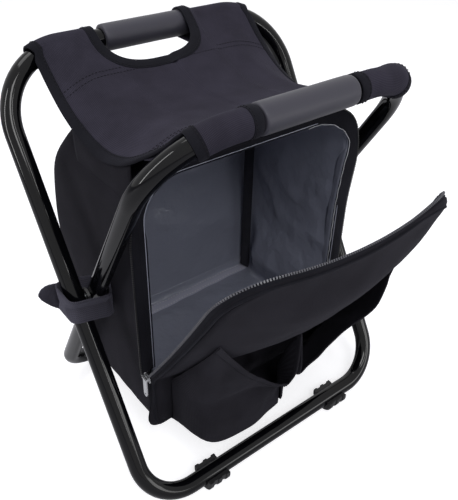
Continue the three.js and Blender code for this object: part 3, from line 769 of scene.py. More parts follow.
def outline(inset, low=BAG_LOW, high=BAG_HIGH):
    """The bag from the front: right half from the bottom's middle to the top's middle, then the left."""
    half, low, high = BAG_SIDE - inset, low + inset, high - inset
    top, bottom = max(3.0, TOP_ROUND - inset), max(2.0, LOW_ROUND - inset)
    points = [((half - bottom) * k / LINE_STEPS, low) for k in range(LINE_STEPS)]
    for k in range(7):
        a = math.radians(-90 + 15 * k)
        points.append((half - bottom + bottom * math.cos(a), low + bottom + bottom * math.sin(a)))
    for k in range(1, SIDE_STEPS):
        points.append((half, mix(low + bottom, high - top, k / SIDE_STEPS)))
    for k in range(13):
        a = math.radians(7.5 * k)
        points.append((half - top + top * math.cos(a), high - top + top * math.sin(a)))
    points += [((half - top) * (1 - k / LINE_STEPS), high) for k in range(1, LINE_STEPS + 1)]
    return points + [(-x, z) for x, z in reversed(points[1:-1])]


HALF_COUNT = LINE_STEPS + 7 + SIDE_STEPS - 1 + 13 + LINE_STEPS
FOLD_HEIGHT = 165.0
FOLD_FOOT = 104.0
FOLD_PUSH = 14.0


def film_folds(p, x, z, seed):
    """The lining is loose film: sharp creases all over, and one long fold low on the right wall."""
    ridges = sum((1 - 2 * abs(uneven(p, period, seed + more))) ** 2 * high
                 for period, more, high in ((62, 5, 2.8), (27, 8, 0.9)))
    fold = min((FOLD_HEIGHT - z) / (FOLD_HEIGHT - FOLD_FOOT), (z - BAG_LOW) / (FOLD_FOOT - BAG_LOW))
    return -ridges - (FOLD_PUSH * max(0.0, fold) if x > 100 else 0.0)


def shell_ring(y, inset, seed, film=False):
    """One ring of the bag at a depth, with the rounded shoulder and heel near the back."""
    rear = BAG_BACK - inset
    shoulder = SHOULDER - inset
    into = max(0.0, y - (rear - shoulder))
    high = BAG_HIGH - shoulder + math.sqrt(max(0.0, shoulder ** 2 - into ** 2))
    round_in = max(0.0, y - (rear - HEEL))
    shrink = HEEL - math.sqrt(max(0.0, HEEL ** 2 - round_in ** 2))
    ring = []
    for x, z in outline(inset + shrink, BAG_LOW, high + shrink * 0.5):
        p = place(x, y, z)
        out = Vector((x, 0, (z - 205) * 0.6)).normalized()
        tall = Vector((p.x, p.y, p.z * 0.45))
        wave = uneven(tall, 48, seed) * 1.5 + uneven(tall, 20, seed + 3) * 0.6
        loose = 1 - smooth(y, rear - 34, rear - 14)
        push = wave + (film_folds(p, x, z, seed) * loose if film else 0.0)
        rim = smooth(y, ZIP_PLANE, ZIP_PLANE + 25)
        full = math.sin(math.pi * min(1.0, max(0.0, (z - 155) / 175)))
        bow = Vector((math.copysign(SIDE_BOW * smooth(y, 5, 75), x) * smooth(abs(x), 60, 110),
                      BACK_BOW * smooth(y, 30, 95), 0)) * full
        ring.append(p + (out * (push * rim) + bow) * MM)
    return ring


def back_face(ring_points, seed, film):
    """Rows that fill the last ring: each joins a point on the right to its mirror on the left."""
    right = ring_points[LINE_STEPS:HALF_COUNT - LINE_STEPS]
    count = len(ring_points)
    rows = []
    for k, a in enumerate(right):
        b = ring_points[(count - (LINE_STEPS + k)) % count]
        row = []
        for j in range(2 * LINE_STEPS + 1):
            t = j / (2 * LINE_STEPS)
            p = a.lerp(b, t)
            dome = (1 - (2 * t - 1) ** 2) * math.sin(math.pi * k / (len(right) - 1))
            ridges = film_folds(p, 0.0, 0.0, seed) * dome if film else 0.0
            p.y += (BACK_DOME * dome + dome * uneven(p, 40, seed) * 1.6 + ridges) * MM
            row.append(p)
        rows.append(row)
    return rows


def joined_skin(name, parts, finish):
    """Several grids of points welded into one skin; each part is (rows, ring)."""
    points, faces, flat = [], [], []
    for rows, ring in parts:
        start, count = len(points), len(rows[0])
        depth = far([row[count // 3] for row in rows])
        for i, row in enumerate(rows):
            points += row
            flat += [(u, depth[i]) for u in far(row)]
        for i in range(len(rows) - 1):
            for k in range(count if ring else count - 1):
                after = (k + 1) % count
                a, b = start + i * count, start + (i + 1) * count
                faces.append((a + k, a + after, b + after, b + k))
    return new_object(name, points, faces, flat, finish)


def bag_shell(name, layers, inset, finish, seed, thickness, film=False):
    rear = BAG_BACK - inset
    depths = [ZIP_PLANE + (rear - HEEL - ZIP_PLANE) * k / 34 for k in range(35)]
    depths += [rear - HEEL + HEEL * math.sin(math.radians(a)) for a in (18, 36, 54, 70, 82, 90)]
    rings = [shell_ring(y, inset, seed, film) for y in depths]
    back_rows = back_face(rings[-1], seed, film)
    made = thicken(joined_skin(name, [(rings, True), (back_rows, False)], finish), thickness)
    dress(made, "cooler_bag", *[f"bag_{layer}_{panel}" for layer in layers
                                for panel in ("floor", "arch", "left", "right", "back")])
    print(name, len(made.data.polygons), "faces")


COVER_SEED = 2.0
bag_shell("bag_cover_shell", ("cover", "foam"), 0.6, CLOTH, COVER_SEED, 1.2)
bag_shell("bag_lining_shell", ("lining",), WALL, FILM, 7.0, 0.7, film=True)
back_seam = shell_ring(BAG_BACK - 4.0, 0.4, COVER_SEED)
dress(sweep("bag_back_piping", back_seam, [Vector((0, 1, 0))] * len(back_seam), round_section(1.6, 8), TAPE,
            closed=True), "cooler_bag")

# %% [markdown]
# ## Door and lower front
# The door and the fixed lower front are one shallow tray of cloth: a front face and a narrow side
# band that ends in the zip. The cloth simply folds forward at the hinge line, so the tray is drawn
# closed and then leaned: points above the hinge turn about it, and points near it turn part way.
# The soft panel swells outwards in the middle, and its free corners curl back towards the bag.

# %% Door: leaning, tray and lining
TRAY_DEPTH = ZIP_PLANE - COVER_FACE
FOLD_BAND = 12.0
LEFT_SEAM_DEPTH = 7.0
RIGHT_SEAM_DEPTH = 1.0
SWELL = 23.0
LOW_SWELL = 3.0
CORNER_CURL = 17.0
MIDDLE_DROOP = 7.0
RIGHT_DROOP = 10.0


def door_share(z):
    return min(1.0, max(0.0, (z - HINGE) / (BAG_HIGH - HINGE)))


def curl(x, z):
    """How far the open door's edge bends back towards the bag there."""
    high, across = door_share(z), x / BAG_SIDE
    right = RIGHT_DROOP * smooth(across, 0.3, 1.0) * math.sin(math.pi * min(1.0, high * 1.1))
    return high * high * (CORNER_CURL * across * across - MIDDLE_DROOP) - right


def seam_depth(x):
    """How far behind the cover's face the front's edge seam lies: the right side stands fuller."""
    return mix(LEFT_SEAM_DEPTH, RIGHT_SEAM_DEPTH, smooth(x, 60, 115))


def face_out(x, z):
    """How far the cloth front stands out of the cover's face; behind it at the seam."""
    across = min(1.0, abs(x) / BAG_SIDE)
    ends = smooth(z, BAG_LOW, BAG_LOW + 34) * smooth(-z, -BAG_HIGH, -BAG_HIGH + 60)
    full = LOW_SWELL + (SWELL - LOW_SWELL) * math.sin(math.pi * door_share(z)) ** 0.8
    return -seam_depth(x) + (seam_depth(x) + full) * (1 - across ** 2.3) * ends ** 0.7


def leaned(x, y, z, amount=None):
    """A point of the closed front, in millimetres, turned with the open door."""
    share = smooth(z, HINGE - FOLD_BAND, HINGE + FOLD_BAND) if amount is None else amount
    angle = DOOR_LEAN * share
    dy, dz = y - COVER_FACE + curl(x, z) * share, z - HINGE
    return place(x, COVER_FACE + dy * math.cos(angle) - dz * math.sin(angle),
                 HINGE + dy * math.sin(angle) + dz * math.cos(angle))


FACE_STEPS = 20


def face_rows(inset, behind, ripple, seed):
    """The front's face, that far behind its outer side, from the right edge to the left one."""
    edge = outline(inset)
    right = edge[LINE_STEPS:HALF_COUNT - LINE_STEPS]
    rows = []
    for k, (half, z) in enumerate(right):
        row = []
        for j in range(2 * FACE_STEPS + 1):
            t = 1 - j / FACE_STEPS
            calm = (1 - t ** 2) * math.sin(math.pi * k / (len(right) - 1)) ** 0.5
            still = Vector((half * t * MM, 0, z * MM))
            fold = ripple * calm * (uneven(still, 44, seed) * 2.0 + uneven(still, 18, seed) * 0.8)
            row.append(leaned(half * t, COVER_FACE + behind - face_out(half * t, z) - fold, z))
        rows.append(row)
    return rows


def outward(x, z):
    """The way straight out of the bag's outline at that point."""
    if z < BAG_HIGH - TOP_ROUND:
        out = Vector((math.copysign(1, x) if abs(x) > BAG_SIDE - TOP_ROUND else 0, 0))
    else:
        out = Vector((x - math.copysign(min(abs(x), BAG_SIDE - TOP_ROUND), x), z - (BAG_HIGH - TOP_ROUND)))
    return out.normalized() if out.length > 0 else Vector((0, 1))


TIP_SWELL = 4.5
LOW_CORNER_SWELL = 6.0


def side_point(x, z, share):
    """A point of the front's soft side, that share of the way from the zip to the seam."""
    between = math.sin(math.pi * min(1.0, share / 0.96)) ** 0.7
    out = outward(x, z) * (TIP_SWELL * between * smooth(x, 45, 105) * smooth(z, 240, 315))
    low = LOW_CORNER_SWELL * between * smooth(-x, 78, 112) * smooth(-z, -BAG_LOW - 44, -BAG_LOW - 6)
    return leaned(x + out.x - low, ZIP_PLANE - share * (TRAY_DEPTH - seam_depth(x)), z + out.y - 0.6 * low)


def band_rows(stations):
    """Rings of the tray's side: stations are (inset, share of the way from the zip to the seam)."""
    return [[side_point(x, z, share) for x, z in outline(inset)] for inset, share in stations]


def front_blend(made):
    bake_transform(made)
    return made


sides = band_rows(((0.6, 0.0), (0.5, 0.25), (0.3, 0.5), (0.6, 0.75), (1.4, 0.9), (2.4, 0.96)))
tray = joined_skin("front_and_door_cover", [(sides, True), (face_rows(2.6, 0.6, 1.0, 5.0), False)], CLOTH)
tray = front_blend(thicken(tray, 1.2))
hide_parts("bag_cover_front", "bag_foam_front", "door_cover", "door_foam", "door_gusset")
inside = band_rows(((2.4, 0.0), (2.6, 0.08), (4.0, 0.12)))
door_lining = joined_skin("front_and_door_lining", [(inside, True), (face_rows(WALL, 5.4, 1.6, 9.0), False)],
                          FILM)
door_lining = front_blend(thicken(door_lining, 0.7))
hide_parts("bag_lining_front", "door_lining")
print("front tray", len(tray.data.polygons), "lean", round(math.degrees(DOOR_LEAN)))


# %% Piping, zip tapes and rim
def upper_outline(inset, start=HINGE + 8):
    """The zip's route: up one side, over the arch and down the other."""
    edge = outline(inset)
    edge = edge[HALF_COUNT:] + edge[:HALF_COUNT]
    left = [(x, z) for x, z in edge if z > start]
    order = sorted(range(len(left)), key=lambda i: math.atan2(left[i][0], left[i][1] - start))
    return [left[i] for i in order]


RIM_FORWARD = 6.0


def rim_point(x, z, flare, forward):
    """The rim flares out, but less where the inner leg passes close beside it."""
    beside = 1 - 0.35 * (1 - min(1.0, abs(z - 318) / 26)) if abs(x) > 100 else 1.0
    grow = flare * beside
    forward += RIM_FORWARD * smooth(x, 70, 115) * smooth(z, 230, 320)
    out = outward(x, z)
    return place(x + out.x * grow, ZIP_PLANE - forward, z + out.y * grow)


route = upper_outline(0.0)
RIM_ROWS = ((-9.0, -2.2), (-8.0, -0.4), (-1.0, 0.0), (4.0, 0.0), (8.0, -0.2), (8.6, -0.8), (8.0, -1.6),
            (3.0, -1.4), (-1.0, -1.8))
rim_rows = [[rim_point(x, z, grow, ahead) for grow, ahead in RIM_ROWS] for x, z in route]
dress(skin("opening_rim_tape", rim_rows, TAPE, ring=True, caps=True), "cooler_bag",
      "opening_zip")
strip_rows = [[rim_point(x, z, mix(-8.8, -6.2, k / 3), mix(-2.4, -14.0, k / 3)) for k in range(4)]
              for x, z in route]
film_strip = dress(thicken(skin("lining_rim_strip", strip_rows, FILM), 0.5), "cooler_bag")
edge_path = [rim_point(x, z, -8.8 + 0.5 * math.sin(k * 1.9), -0.9)
             for k, (x, z) in enumerate(route) if x > 60]
dress(sweep("lining_cut_edge", edge_path, [Vector((0, -1, 0))] * len(edge_path), round_section(0.4, 6),
            FILM_EDGE), "cooler_bag")
PIPING = 1.5
for name, inset, share in (("front", 1.0, 0.94), ("zip", -0.2, 0.28)):
    path = [side_point(x, z, share) for x, z in upper_outline(inset, HINGE - 60)]
    piping = sweep(f"door_{name}_piping", path, [Vector((0, -1, 0.4)).normalized()] * len(path),
                   round_section(PIPING if name == "front" else 0.9, 8), TAPE)
    front_blend(piping)
tape_rows = [[leaned(x, COVER_FACE + depth, z) for x, z in upper_outline(inset, HINGE + 6)]
             for inset, depth in ((-0.3, 9.8), (-4.6, TRAY_DEPTH - 1.7), (-5.0, TRAY_DEPTH - 0.9),
                                  (-4.4, TRAY_DEPTH - 0.2), (0.4, TRAY_DEPTH - 0.5), (5.0, TRAY_DEPTH - 0.9),
                                  (5.0, TRAY_DEPTH - 1.8), (0.6, TRAY_DEPTH - 2.0))]
dress(skin("door_zip_tape", [list(r) for r in zip(*tape_rows)], TAPE, ring=True, caps=True),
      "front_door", "door_zip")
TEETH_LINES = {
    "cooler_bag": [[rim_point(x, z, 8.4, -0.2) for x, z in route]],
    "front_door": [[leaned(x, ZIP_PLANE - 0.8, z, 1.0) for x, z in upper_outline(-5.2, HINGE + 12)]],
}
print("zip route", len(route), "points")

# %% [markdown]
# ## Patch pockets
# Two loose pockets stand out from the front like half bowls. Each is one cloth, sewn to the door
# along its sides and foot. It stands straight out of the bag at its foot and turns square to the
# leaning door towards its mouth, which hangs open in a soft curve with a hem.

# %% Pockets
POCKET_WIDE = 107.0
POCKET_FOOT = 69.0
POCKET_FULL = 45.0
POCKET_SAG = 15.0
SUNK_FULL = 22.0
SUNK_SAG = 6.0
# Each mouth is a list of points: share across from the middle, millimetres out, millimetres up.
LEFT_MOUTH = (
    (0.0, 23.0, 79.0), (0.02, 39.0, 61.0), (0.04, 53.0, 43.0), (0.08, 61.5, 25.0), (0.16, 60.0, 29.0),
    (0.25, 56.0, 33.5), (0.37, 46.0, 43.0), (0.51, 38.0, 57.0), (0.67, 26.5, 76.0), (0.82, 14.5, 97.0),
    (1.0, 5.0, 127.0),
)
RIGHT_MOUTH = (
    (0.0, 23.0, 79.0), (0.02, 37.0, 61.0), (0.04, 50.0, 43.0), (0.08, 57.0, 25.0), (0.19, 54.0, 29.0),
    (0.33, 50.0, 43.0), (0.47, 45.0, 58.0), (0.67, 37.0, 78.5), (0.82, 30.0, 91.5), (0.93, 17.5, 105.0),
    (1.0, 5.0, 117.0),
)
POCKET_COLUMNS = 40
POCKET_ROWS = 34


def on_curve(points, share):
    """A smooth value between given points: their first number is the share."""
    for i in range(len(points) - 1):
        if share <= points[i + 1][0] or i == len(points) - 2:
            break
    a, b = points[i], points[i + 1]
    before, after = points[max(0, i - 1)], points[min(len(points) - 1, i + 2)]
    t = (share - a[0]) / (b[0] - a[0])
    values = []
    for k in range(1, len(a)):
        ga = (b[k] - before[k]) / (b[0] - before[0])
        gb = (after[k] - a[k]) / (after[0] - a[0])
        width = b[0] - a[0]
        values.append(a[k] * (1 + 2 * t) * (1 - t) ** 2 + ga * width * t * (1 - t) ** 2
                      + b[k] * t * t * (3 - 2 * t) + gb * width * t * t * (t - 1))
    return values


def pocket_point(sign, across, rise, lift=0.0):
    """The left pocket stands full; the right one has sunk in below its mouth."""
    mouth_out, mouth_up = on_curve(RIGHT_MOUTH if sign > 0 else LEFT_MOUTH, across)
    base = mix(POCKET_FOOT, HINGE + mouth_up, rise)
    x = sign * across * POCKET_WIDE
    turn = DOOR_LEAN * smooth(rise, 0.0, 1.0)
    belly = math.sqrt(max(0.0, 1 - across ** 14))
    if sign > 0:
        full, start = mix(POCKET_FULL, SUNK_FULL, smooth(across, 0.0, 0.22)), 0.1
    else:
        full, start = mix(POCKET_FULL - 3.0, POCKET_FULL + 3.0, smooth(across, 0.05, 0.4)), 0.2
    flat = math.sqrt(min(1.0, rise / 0.05))
    above = face_out(x, base) + 0.9 + lift
    wanted = mix(full * belly, mouth_out, smooth(rise, start, 1.0)) + lift
    out = above + max(0.0, wanted - above) * flat
    sag = (POCKET_SAG if sign < 0 else SUNK_SAG) * (1 - across ** 5) * flat * flat
    sag *= 1 - smooth(rise, 0.0, 0.8)
    seat_at = leaned(x, COVER_FACE, base)
    point = seat_at + Vector((0, -math.cos(turn), -math.sin(turn))) * (out * MM) - Vector((0, 0, sag * MM))
    fold = belly * smooth(rise, 0.03, 0.3) * smooth(across, 0.0, 0.1)
    wave = uneven(point, 34, 11.0 + sign) * 2.8 + uneven(point, 15, 3.0) * 1.1
    point += Vector((0, -math.cos(turn), -math.sin(turn))) * (wave * fold * MM)
    return point


def pocket_blend(made):
    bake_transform(made)
    return made


for name, sign in LEFT_RIGHT:
    places = [(i / POCKET_COLUMNS) ** 1.4 for i in range(POCKET_COLUMNS + 1)]
    rows = [[pocket_point(sign, across, (j / POCKET_ROWS) ** 1.9) for j in range(POCKET_ROWS + 1)]
            for across in places]
    made = thicken(skin(f"pocket_{name}_cloth", rows, CLOTH), 1.2)
    pocket_blend(made)
    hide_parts(f"pocket_{name}")
    mouth, below, seam = ([pocket_point(sign, across, rise) for across in places]
                          for rise in (1.0, 0.93, 0.94))
    outs = []
    for i in range(POCKET_COLUMNS + 1):
        ahead = mouth[min(i + 1, POCKET_COLUMNS)] - mouth[max(i - 1, 0)]
        outs.append(ahead.cross(mouth[i] - below[i]).normalized() * (1 if sign > 0 else -1))
    pocket_blend(binding(f"pocket_{name}_hem", mouth, below, outs, finish=CLOTH, proud=1.0))
    SEAMS["pocket"].append([p + n * (1.2 * MM) for p, n in zip(seam, outs)])

# %% [markdown]
# ## Webs and tie straps
# A plain web of the same cloth joins each side of the seat to the bag below. The tie straps are
# webbing sewn to the bag's sides; each goes round both legs at their crossing and ends in a short
# tail. The legs spread downwards, so a strap's lower edge is longer than its upper one.

# %% Webs
for name, sign in LEFT_RIGHT:
    low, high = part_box(f"side_web_{name}")
    rows = []
    for i in range(25):
        share = mix(-0.5, 0.42, i / 24)
        top = seat_point(sign * 123.2, share, -1.8)
        foot = Vector((sign * (BAG_SIDE - 3.2) * MM, max(top.y, place(0, ZIP_PLANE + 4, 0).y), low.z))
        row = []
        for k in range(9):
            p = foot.lerp(top, k / 8)
            p.x += sign * math.sin(math.pi * k / 8) * (0.8 + 1.2 * uneven(p, 30, 6.0)) * MM
            row.append(p)
        rows.append(row)
    web = dress(thicken(skin(f"side_web_cloth_{name}", rows, CLOTH), 1.0), "cooler_bag",
                f"side_web_{name}")

# %% Tie straps
STRAP_LOW = -12.5
STRAP_HIGH = 13.0
STRAP_SEWN = BAG_SIDE + 1.0
STRAP_IN = INNER_LEG - TUBE - 1.0
STRAP_OUT = 174.4
INNER_CORNER = 10.0
STRAP_TILT = 8.0


def strap_path(level):
    crossing = (abs(level) * TILT_SINE + TUBE) / TILT_COSINE + 0.9
    corner = 8.0
    crossing = max(crossing, INNER_CORNER + 1.0)
    start = STRAP_IN + INNER_CORNER
    points = [(STRAP_SEWN, -1.5), (STRAP_SEWN + 1.4, -1.9), (STRAP_SEWN + 3.0, -crossing * 0.35)]
    points += [(start - INNER_CORNER * math.cos(a), -crossing + INNER_CORNER - INNER_CORNER * math.sin(a))
               for a in (math.radians(15 * k) for k in range(2, 7))]
    points += [(mix(start, STRAP_OUT - corner, k / 5), -crossing) for k in range(1, 5)]
    points += [(STRAP_OUT - corner + corner * math.sin(a), -crossing + corner - corner * math.cos(a))
               for a in (math.radians(15 * k) for k in range(7))]
    points += [(STRAP_OUT, mix(-crossing + corner, crossing - corner, k / 6)) for k in range(1, 6)]
    points += [(STRAP_OUT - corner + corner * math.cos(a), crossing - corner + corner * math.sin(a))
               for a in (math.radians(15 * k) for k in range(7))]
    points += [(mix(STRAP_OUT - corner, start, k / 5), crossing) for k in range(1, 5)]
    points += [(start - INNER_CORNER * math.sin(a), crossing - INNER_CORNER + INNER_CORNER * math.cos(a))
               for a in (math.radians(15 * k) for k in range(5))]
    return points + [(STRAP_SEWN + 3.0, crossing * 0.35), (STRAP_SEWN + 1.4, 1.9), (STRAP_SEWN, 1.5)]


def strap(name, sign):
    rows = []
    for k in range(9):
        level = mix(STRAP_LOW, STRAP_HIGH, k / 8)
        bow = 0.9 * math.sin(math.pi * k / 8)
        rows.append([place(sign * x + sign * bow * (x > STRAP_OUT - 1), y,
                           PIVOT_HEIGHT + level - STRAP_TILT * (1 - smooth(x, STRAP_IN - 4, STRAP_OUT)))
                     for x, y in strap_path(level)])
    made = dress(thicken(skin(f"tie_strap_{name}_band", rows, WEBBING), 1.6), "cooler_bag",
                 f"tie_strap_{name}")
    tail_rows = []
    crossing = (abs(STRAP_LOW) * TILT_SINE + TUBE) / TILT_COSINE
    for i in range(15):
        t = i / 14
        x = mix(STRAP_OUT - 12, STRAP_OUT + 14.5, t)
        half = mix(19.0, 9.0, t) * math.sqrt(1 - max(0.0, t - 0.55) ** 2 / 0.205)
        z = PIVOT_HEIGHT + mix(-9.5, 4.5, t)
        rib = 0.5 * math.cos(2 * math.pi * i / 2)
        y = crossing + 0.8 + 2.0 * math.sin(math.pi * t * 0.7) + rib * 0.5
        tail_rows.append([place(sign * x, y + 1.2 * math.sin(math.pi * k / 8), z + mix(-half, half, k / 8))
                          for k in range(9)])
    tail = dress(thicken(skin(f"tie_strap_{name}_tail", tail_rows, WEBBING), 1.5), "cooler_bag")


for name, sign in LEFT_RIGHT:
    strap(name, sign)

# %% [markdown]
# ## Feet and rivets
# The feet are rubber clips with ribs, pressed on the lower bars, flat underneath. The rivets are
# cold-headed steel with a low domed head on each side of the legs.

# %% Feet
FOOT_LONG = 26.0
FOOT_RIB = 5.0
FOOT_PITCH = 10.5
FOOT_BORE = 9.2


def foot_profile():
    """Places along a foot and its outer radius there: three ribs with rounded edges."""
    stations = []
    for rib in range(3):
        start = -FOOT_LONG / 2 + rib * FOOT_PITCH
        half = ((0.0, 13.7), (0.05, 14.6), (0.6, 15.0))
        stations += [(start + along, radius) for along, radius in half]
        stations += [(start + FOOT_RIB - along, radius) for along, radius in half[::-1]]
    return stations


def foot(name, loop, sign, node, body, spacing):
    bar_y = -loop.lean * HALF_DEPTH
    outside = [math.radians(mix(12, -192, k / 24)) for k in range(25)]
    inside = [math.radians(mix(-192, 12, k / 16)) for k in range(17)]
    rows = []
    for along, radius in foot_profile():
        x = sign * spacing / 2 + along
        flat_z = -BAR_HEIGHT + 0.02
        rows.append([place(x, bar_y + radius * math.cos(a), BAR_HEIGHT + max(radius * math.sin(a), flat_z))
                     for a in outside]
                    + [place(x, bar_y + FOOT_BORE * math.cos(a), BAR_HEIGHT + FOOT_BORE * math.sin(a))
                       for a in inside])
    dress(skin(name, rows, RUBBER, ring=True, caps=True, sharp=35), body, node)


for name, sign in LEFT_RIGHT:
    foot(f"front_foot_{name}", OUTER, sign, f"outer_foot_{name}", "outer_frame", 176.0)
    foot(f"rear_foot_{name}", INNER, sign, f"inner_foot_{name}", "inner_frame", 158.0)
print("feet", 4)


# %% Rivets, washers, slider and tab
# The domed head from its middle to the shank: radius, height over the washer's face.
RIVET_PROFILE = (
    (0.0, 2.3), (1.6, 2.25), (3.2, 2.0), (4.8, 1.5), (5.9, 0.9), (6.5, 0.2), (6.5, 0.0), (3.0, 0.0),
)


def rivet(name, sign):
    inside, outside = INNER_LEG - TUBE - 0.3, OUTER_LEG + TUBE + 0.3
    stations = [(r, inside - h) for r, h in RIVET_PROFILE]
    stations += [(r, outside + h) for r, h in reversed(RIVET_PROFILE)]
    rows = []
    for radius, along in stations:
        radius = max(radius, 0.01)
        rows.append([place(sign * along, radius * math.cos(a), PIVOT_HEIGHT + radius * math.sin(a))
                     for a in (2 * math.pi * k / 28 for k in range(28))])
    dress(skin(f"rivet_{name}", rows, RIVET_STEEL, ring=True, caps=True, sharp=40),
          "outer_frame", f"pivot_rivet_{name}")


for name, sign in LEFT_RIGHT:
    rivet(name, sign)
for node, finish in (("pivot_washer_left", NYLON), ("pivot_washer_right", NYLON), ("zip_slider", ZINC),
                     ("pull_tab", ZINC)):
    mesh = frame["nodes"][node].data
    mesh.materials.clear()
    mesh.materials.append(finish)
print("rivets and hardware done")

# %% [markdown]
# ## Stitches and zip teeth
# Both are one small shape repeated along a line, so Geometry Nodes make them: the line becomes a
# curve, the curve becomes evenly spaced points, and every point carries one copy turned along the
# line. Stitches are drawn a little thicker than real thread, which would vanish at this distance.


# %% Beads along a line
def bead_tree():
    tree = bpy.data.node_groups.new("beads along a line", "GeometryNodeTree")
    tree.interface.new_socket("Geometry", in_out="OUTPUT", socket_type="NodeSocketGeometry")
    for socket, kind in (("Geometry", "Geometry"), ("Pitch", "Float"), ("Size", "Vector"), ("Square", "Bool"),
                         ("Finish", "Material")):
        tree.interface.new_socket(socket, in_out="INPUT", socket_type=f"NodeSocket{kind}")
    given = add_node(tree, "NodeGroupInput")
    curve = add_node(tree, "GeometryNodeMeshToCurve", None, {"Mesh": given.outputs["Geometry"]})
    spots = add_node(tree, "GeometryNodeCurveToPoints", {"mode": "LENGTH"},
                     {"Curve": curve.outputs["Curve"], "Length": given.outputs["Pitch"]})
    ball = add_node(tree, "GeometryNodeMeshIcoSphere", {"Radius": 0.5, "Subdivisions": 1})
    block = add_node(tree, "GeometryNodeMeshCube", {"Size": (1.0, 1.0, 1.0)})
    shape = add_node(tree, "GeometryNodeSwitch", {"input_type": "GEOMETRY"}, {
        "Switch": given.outputs["Square"], "False": ball.outputs["Mesh"], "True": block.outputs["Mesh"]})
    copies = add_node(tree, "GeometryNodeInstanceOnPoints", None, {
        "Points": spots.outputs["Points"], "Instance": shape.outputs["Output"],
        "Rotation": spots.outputs["Rotation"], "Scale": given.outputs["Size"]})
    real = add_node(tree, "GeometryNodeRealizeInstances", None, {"Geometry": copies.outputs["Instances"]})
    painted = add_node(tree, "GeometryNodeSetMaterial", None, {
        "Geometry": real.outputs["Geometry"], "Material": given.outputs["Finish"]})
    add_node(tree, "NodeGroupOutput", None, {"Geometry": painted.outputs["Geometry"]})
    return tree


BEADS = bead_tree()


def beads(name, lines, pitch, size, square, finish):
    points, edges = [], []
    for line in lines:
        start = len(points)
        points += line
        edges += [(start + i, start + i + 1) for i in range(len(line) - 1)]
    mesh = bpy.data.meshes.new(name)
    mesh.from_pydata(points, edges, [])
    made = bpy.data.objects.new(name, mesh)
    scene.collection.objects.link(made)
    given = {"Pitch": pitch * MM, "Size": tuple(s * MM for s in size), "Square": square, "Finish": finish}
    run = made.modifiers.new("beads", "NODES")
    run.node_group = BEADS
    for item in BEADS.interface.items_tree:
        if item.in_out == "INPUT" and item.name in given:
            run[item.identifier] = given[item.name]
    set_in_mesh(made)
    print(name, len(made.data.polygons), "faces")
    return made


STITCH = (0.75, 0.75, 2.4)
seat_blend(beads("seat_stitches", SEAMS["seat"], 3.4, STITCH, False, THREAD))
pocket_blend(beads("pocket_stitches", SEAMS["pocket"], 3.4, STITCH, False,
                   THREAD))
for body, lines in TEETH_LINES.items():
    tooth = (1.9, 1.9, 1.2) if body == "front_door" else (1.3, 1.3, 1.1)
    finish = TEETH if body == "front_door" else NYLON
    dress(beads(f"{body}_zip_teeth", lines, 2.3, tooth, True, finish), body)

# %% [markdown]
# ## Inside bindings
# Inside the bag the seams of the back panel are covered by folded tape: black up the corners, and
# a grey one stitched along the floor.

# %% Inside bindings
INSIDE_Y = BAG_BACK - WALL - 1.2
edge = outline(WALL + 5.5, BAG_LOW, BAG_HIGH - 30.0)
corner = [(x, z) for x, z in edge if x > 0 and z > BAG_LOW + 12]
# The corner tape's finish is painted lighter than the outer black tape: painted light inside the bag.
for name, sign in LEFT_RIGHT:
    path = [place(sign * x, INSIDE_Y - 10.0, z) for x, z in corner if z < 318]
    out = Vector((-sign, -1, 0)).normalized()
    dress(sweep(f"inside_corner_binding_{name}", path, [out] * len(path), tape_section(5.8, 1.6), INNER_TAPE), "cooler_bag")
FLAP_NORMAL = Vector((0, -0.5, 1)).normalized()
path = [place(x, mix(78, 84, smooth(x, -110, 115)), BAG_LOW + WALL + 2.6 + 0.5 * math.sin(x / 6))
        for x in (mix(-110, 115, k / 60) for k in range(61))]
dress(sweep("inside_floor_binding", path, [FLAP_NORMAL] * len(path), tape_section(5.5, 1.4), FLAP), "cooler_bag")
along_flap = Vector((0, 1, 0.5)).normalized()
inside_seams = [[p + (FLAP_NORMAL * 1.7 + along_flap * side) * MM for p in path] for side in (-3.4, 3.4)]
dress(beads("inside_stitches", inside_seams, 4.2, (1.2, 1.2, 2.6), False, FILM_EDGE),
      "cooler_bag")
print("inside bindings done")

# %% [markdown]
# ## Studio
# A cut-out look on white: a pale floor that keeps a soft shadow, a white surround, and five soft
# lamps. Two of them are tall strips whose reflections draw the long highlights on the tubes.

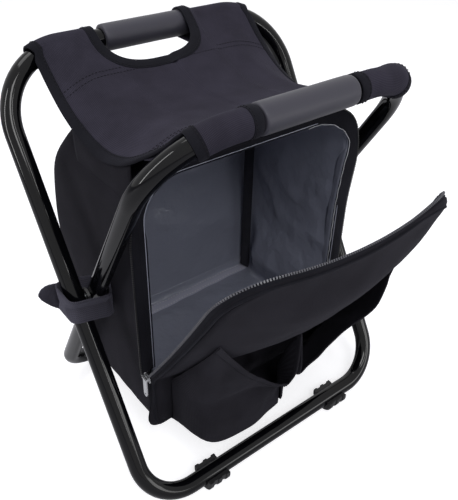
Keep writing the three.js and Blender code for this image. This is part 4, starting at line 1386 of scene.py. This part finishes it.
# %% Floor, lamps and surround
FLOOR_GLOW = 0.62
floor_finish, floor_tree, floor_shader = new_finish("White paper backdrop, matt", {
    "Base Color": linear("#d6d6da"), "Roughness": 0.9, "Specular IOR Level": 0.0,
})
floor_rays = add_node(floor_tree, "ShaderNodeLightPath")
glow = add_node(floor_tree, "ShaderNodeMath", {"operation": "MULTIPLY", 1: FLOOR_GLOW},
                {0: floor_rays.outputs["Is Camera Ray"]})
floor_shader.inputs["Emission Color"].default_value = linear("#ffffff")
floor_tree.links.new(glow.outputs["Value"], floor_shader.inputs["Emission Strength"])
floor_mesh = bpy.data.meshes.new("floor")
REACH = 6.0
floor_mesh.from_pydata([(-REACH, -REACH, 0), (REACH, -REACH, 0), (REACH, REACH, 0), (-REACH, REACH, 0)], [],
                       [(0, 1, 2, 3)])
floor_mesh.materials.append(floor_finish)
floor = bpy.data.objects.new("floor", floor_mesh)
scene.collection.objects.link(floor)
floor.location.z = -0.0003

# Each lamp: name, watts, width and height, place, and the point it faces, in metres.
LAMPS = (
    ("key softbox", 23.0, (0.6, 1.2), (-0.55, -1.35, 2.0), (0, 0, 0.2)),
    ("front strip", 11.0, (0.14, 1.8), (0.35, -2.0, 1.2), (0, 0, 0.2)),
    ("side strip", 15.0, (0.16, 1.8), (-1.7, 0.3, 1.1), (0, 0, 0.2)),
    ("low fill softbox", 6.0, (0.9, 0.4), (0.9, -1.5, 0.35), (0, 0, 0.15)),
    ("top softbox", 13.0, (1.0, 1.0), (-0.1, 0.5, 2.1), (0, 0, 0.2)),
)
for name, power, size, at, toward in LAMPS:
    data = bpy.data.lights.new(name, "AREA")
    data.energy = power
    data.shape = "RECTANGLE"
    data.size, data.size_y = size
    lamp = bpy.data.objects.new(name, data)
    scene.collection.objects.link(lamp)
    lamp.location = at
    lamp.rotation_euler = (Vector(toward) - Vector(at)).to_track_quat("-Z", "Y").to_euler()

world = bpy.data.worlds.new("white surround")
scene.world = world
world.use_nodes = True
tree = world.node_tree
tree.nodes.clear()
rays = add_node(tree, "ShaderNodeLightPath")
plain = add_node(tree, "ShaderNodeBackground", {"Color": linear("#e9e9ee"), "Strength": 0.41})
white = add_node(tree, "ShaderNodeBackground", {"Color": (1.0, 1.0, 1.0, 1.0), "Strength": 1.0})
seen = add_node(tree, "ShaderNodeMath", {"operation": "MAXIMUM"}, {
    0: rays.outputs["Is Camera Ray"], 1: rays.outputs["Is Glossy Ray"]})
chosen = add_node(tree, "ShaderNodeMixShader", None, {
    0: seen.outputs["Value"], 1: plain.outputs["Background"], 2: white.outputs["Background"]})
add_node(tree, "ShaderNodeOutputWorld", None, {"Surface": chosen.outputs["Shader"]})
scene.view_settings.view_transform = "Standard"
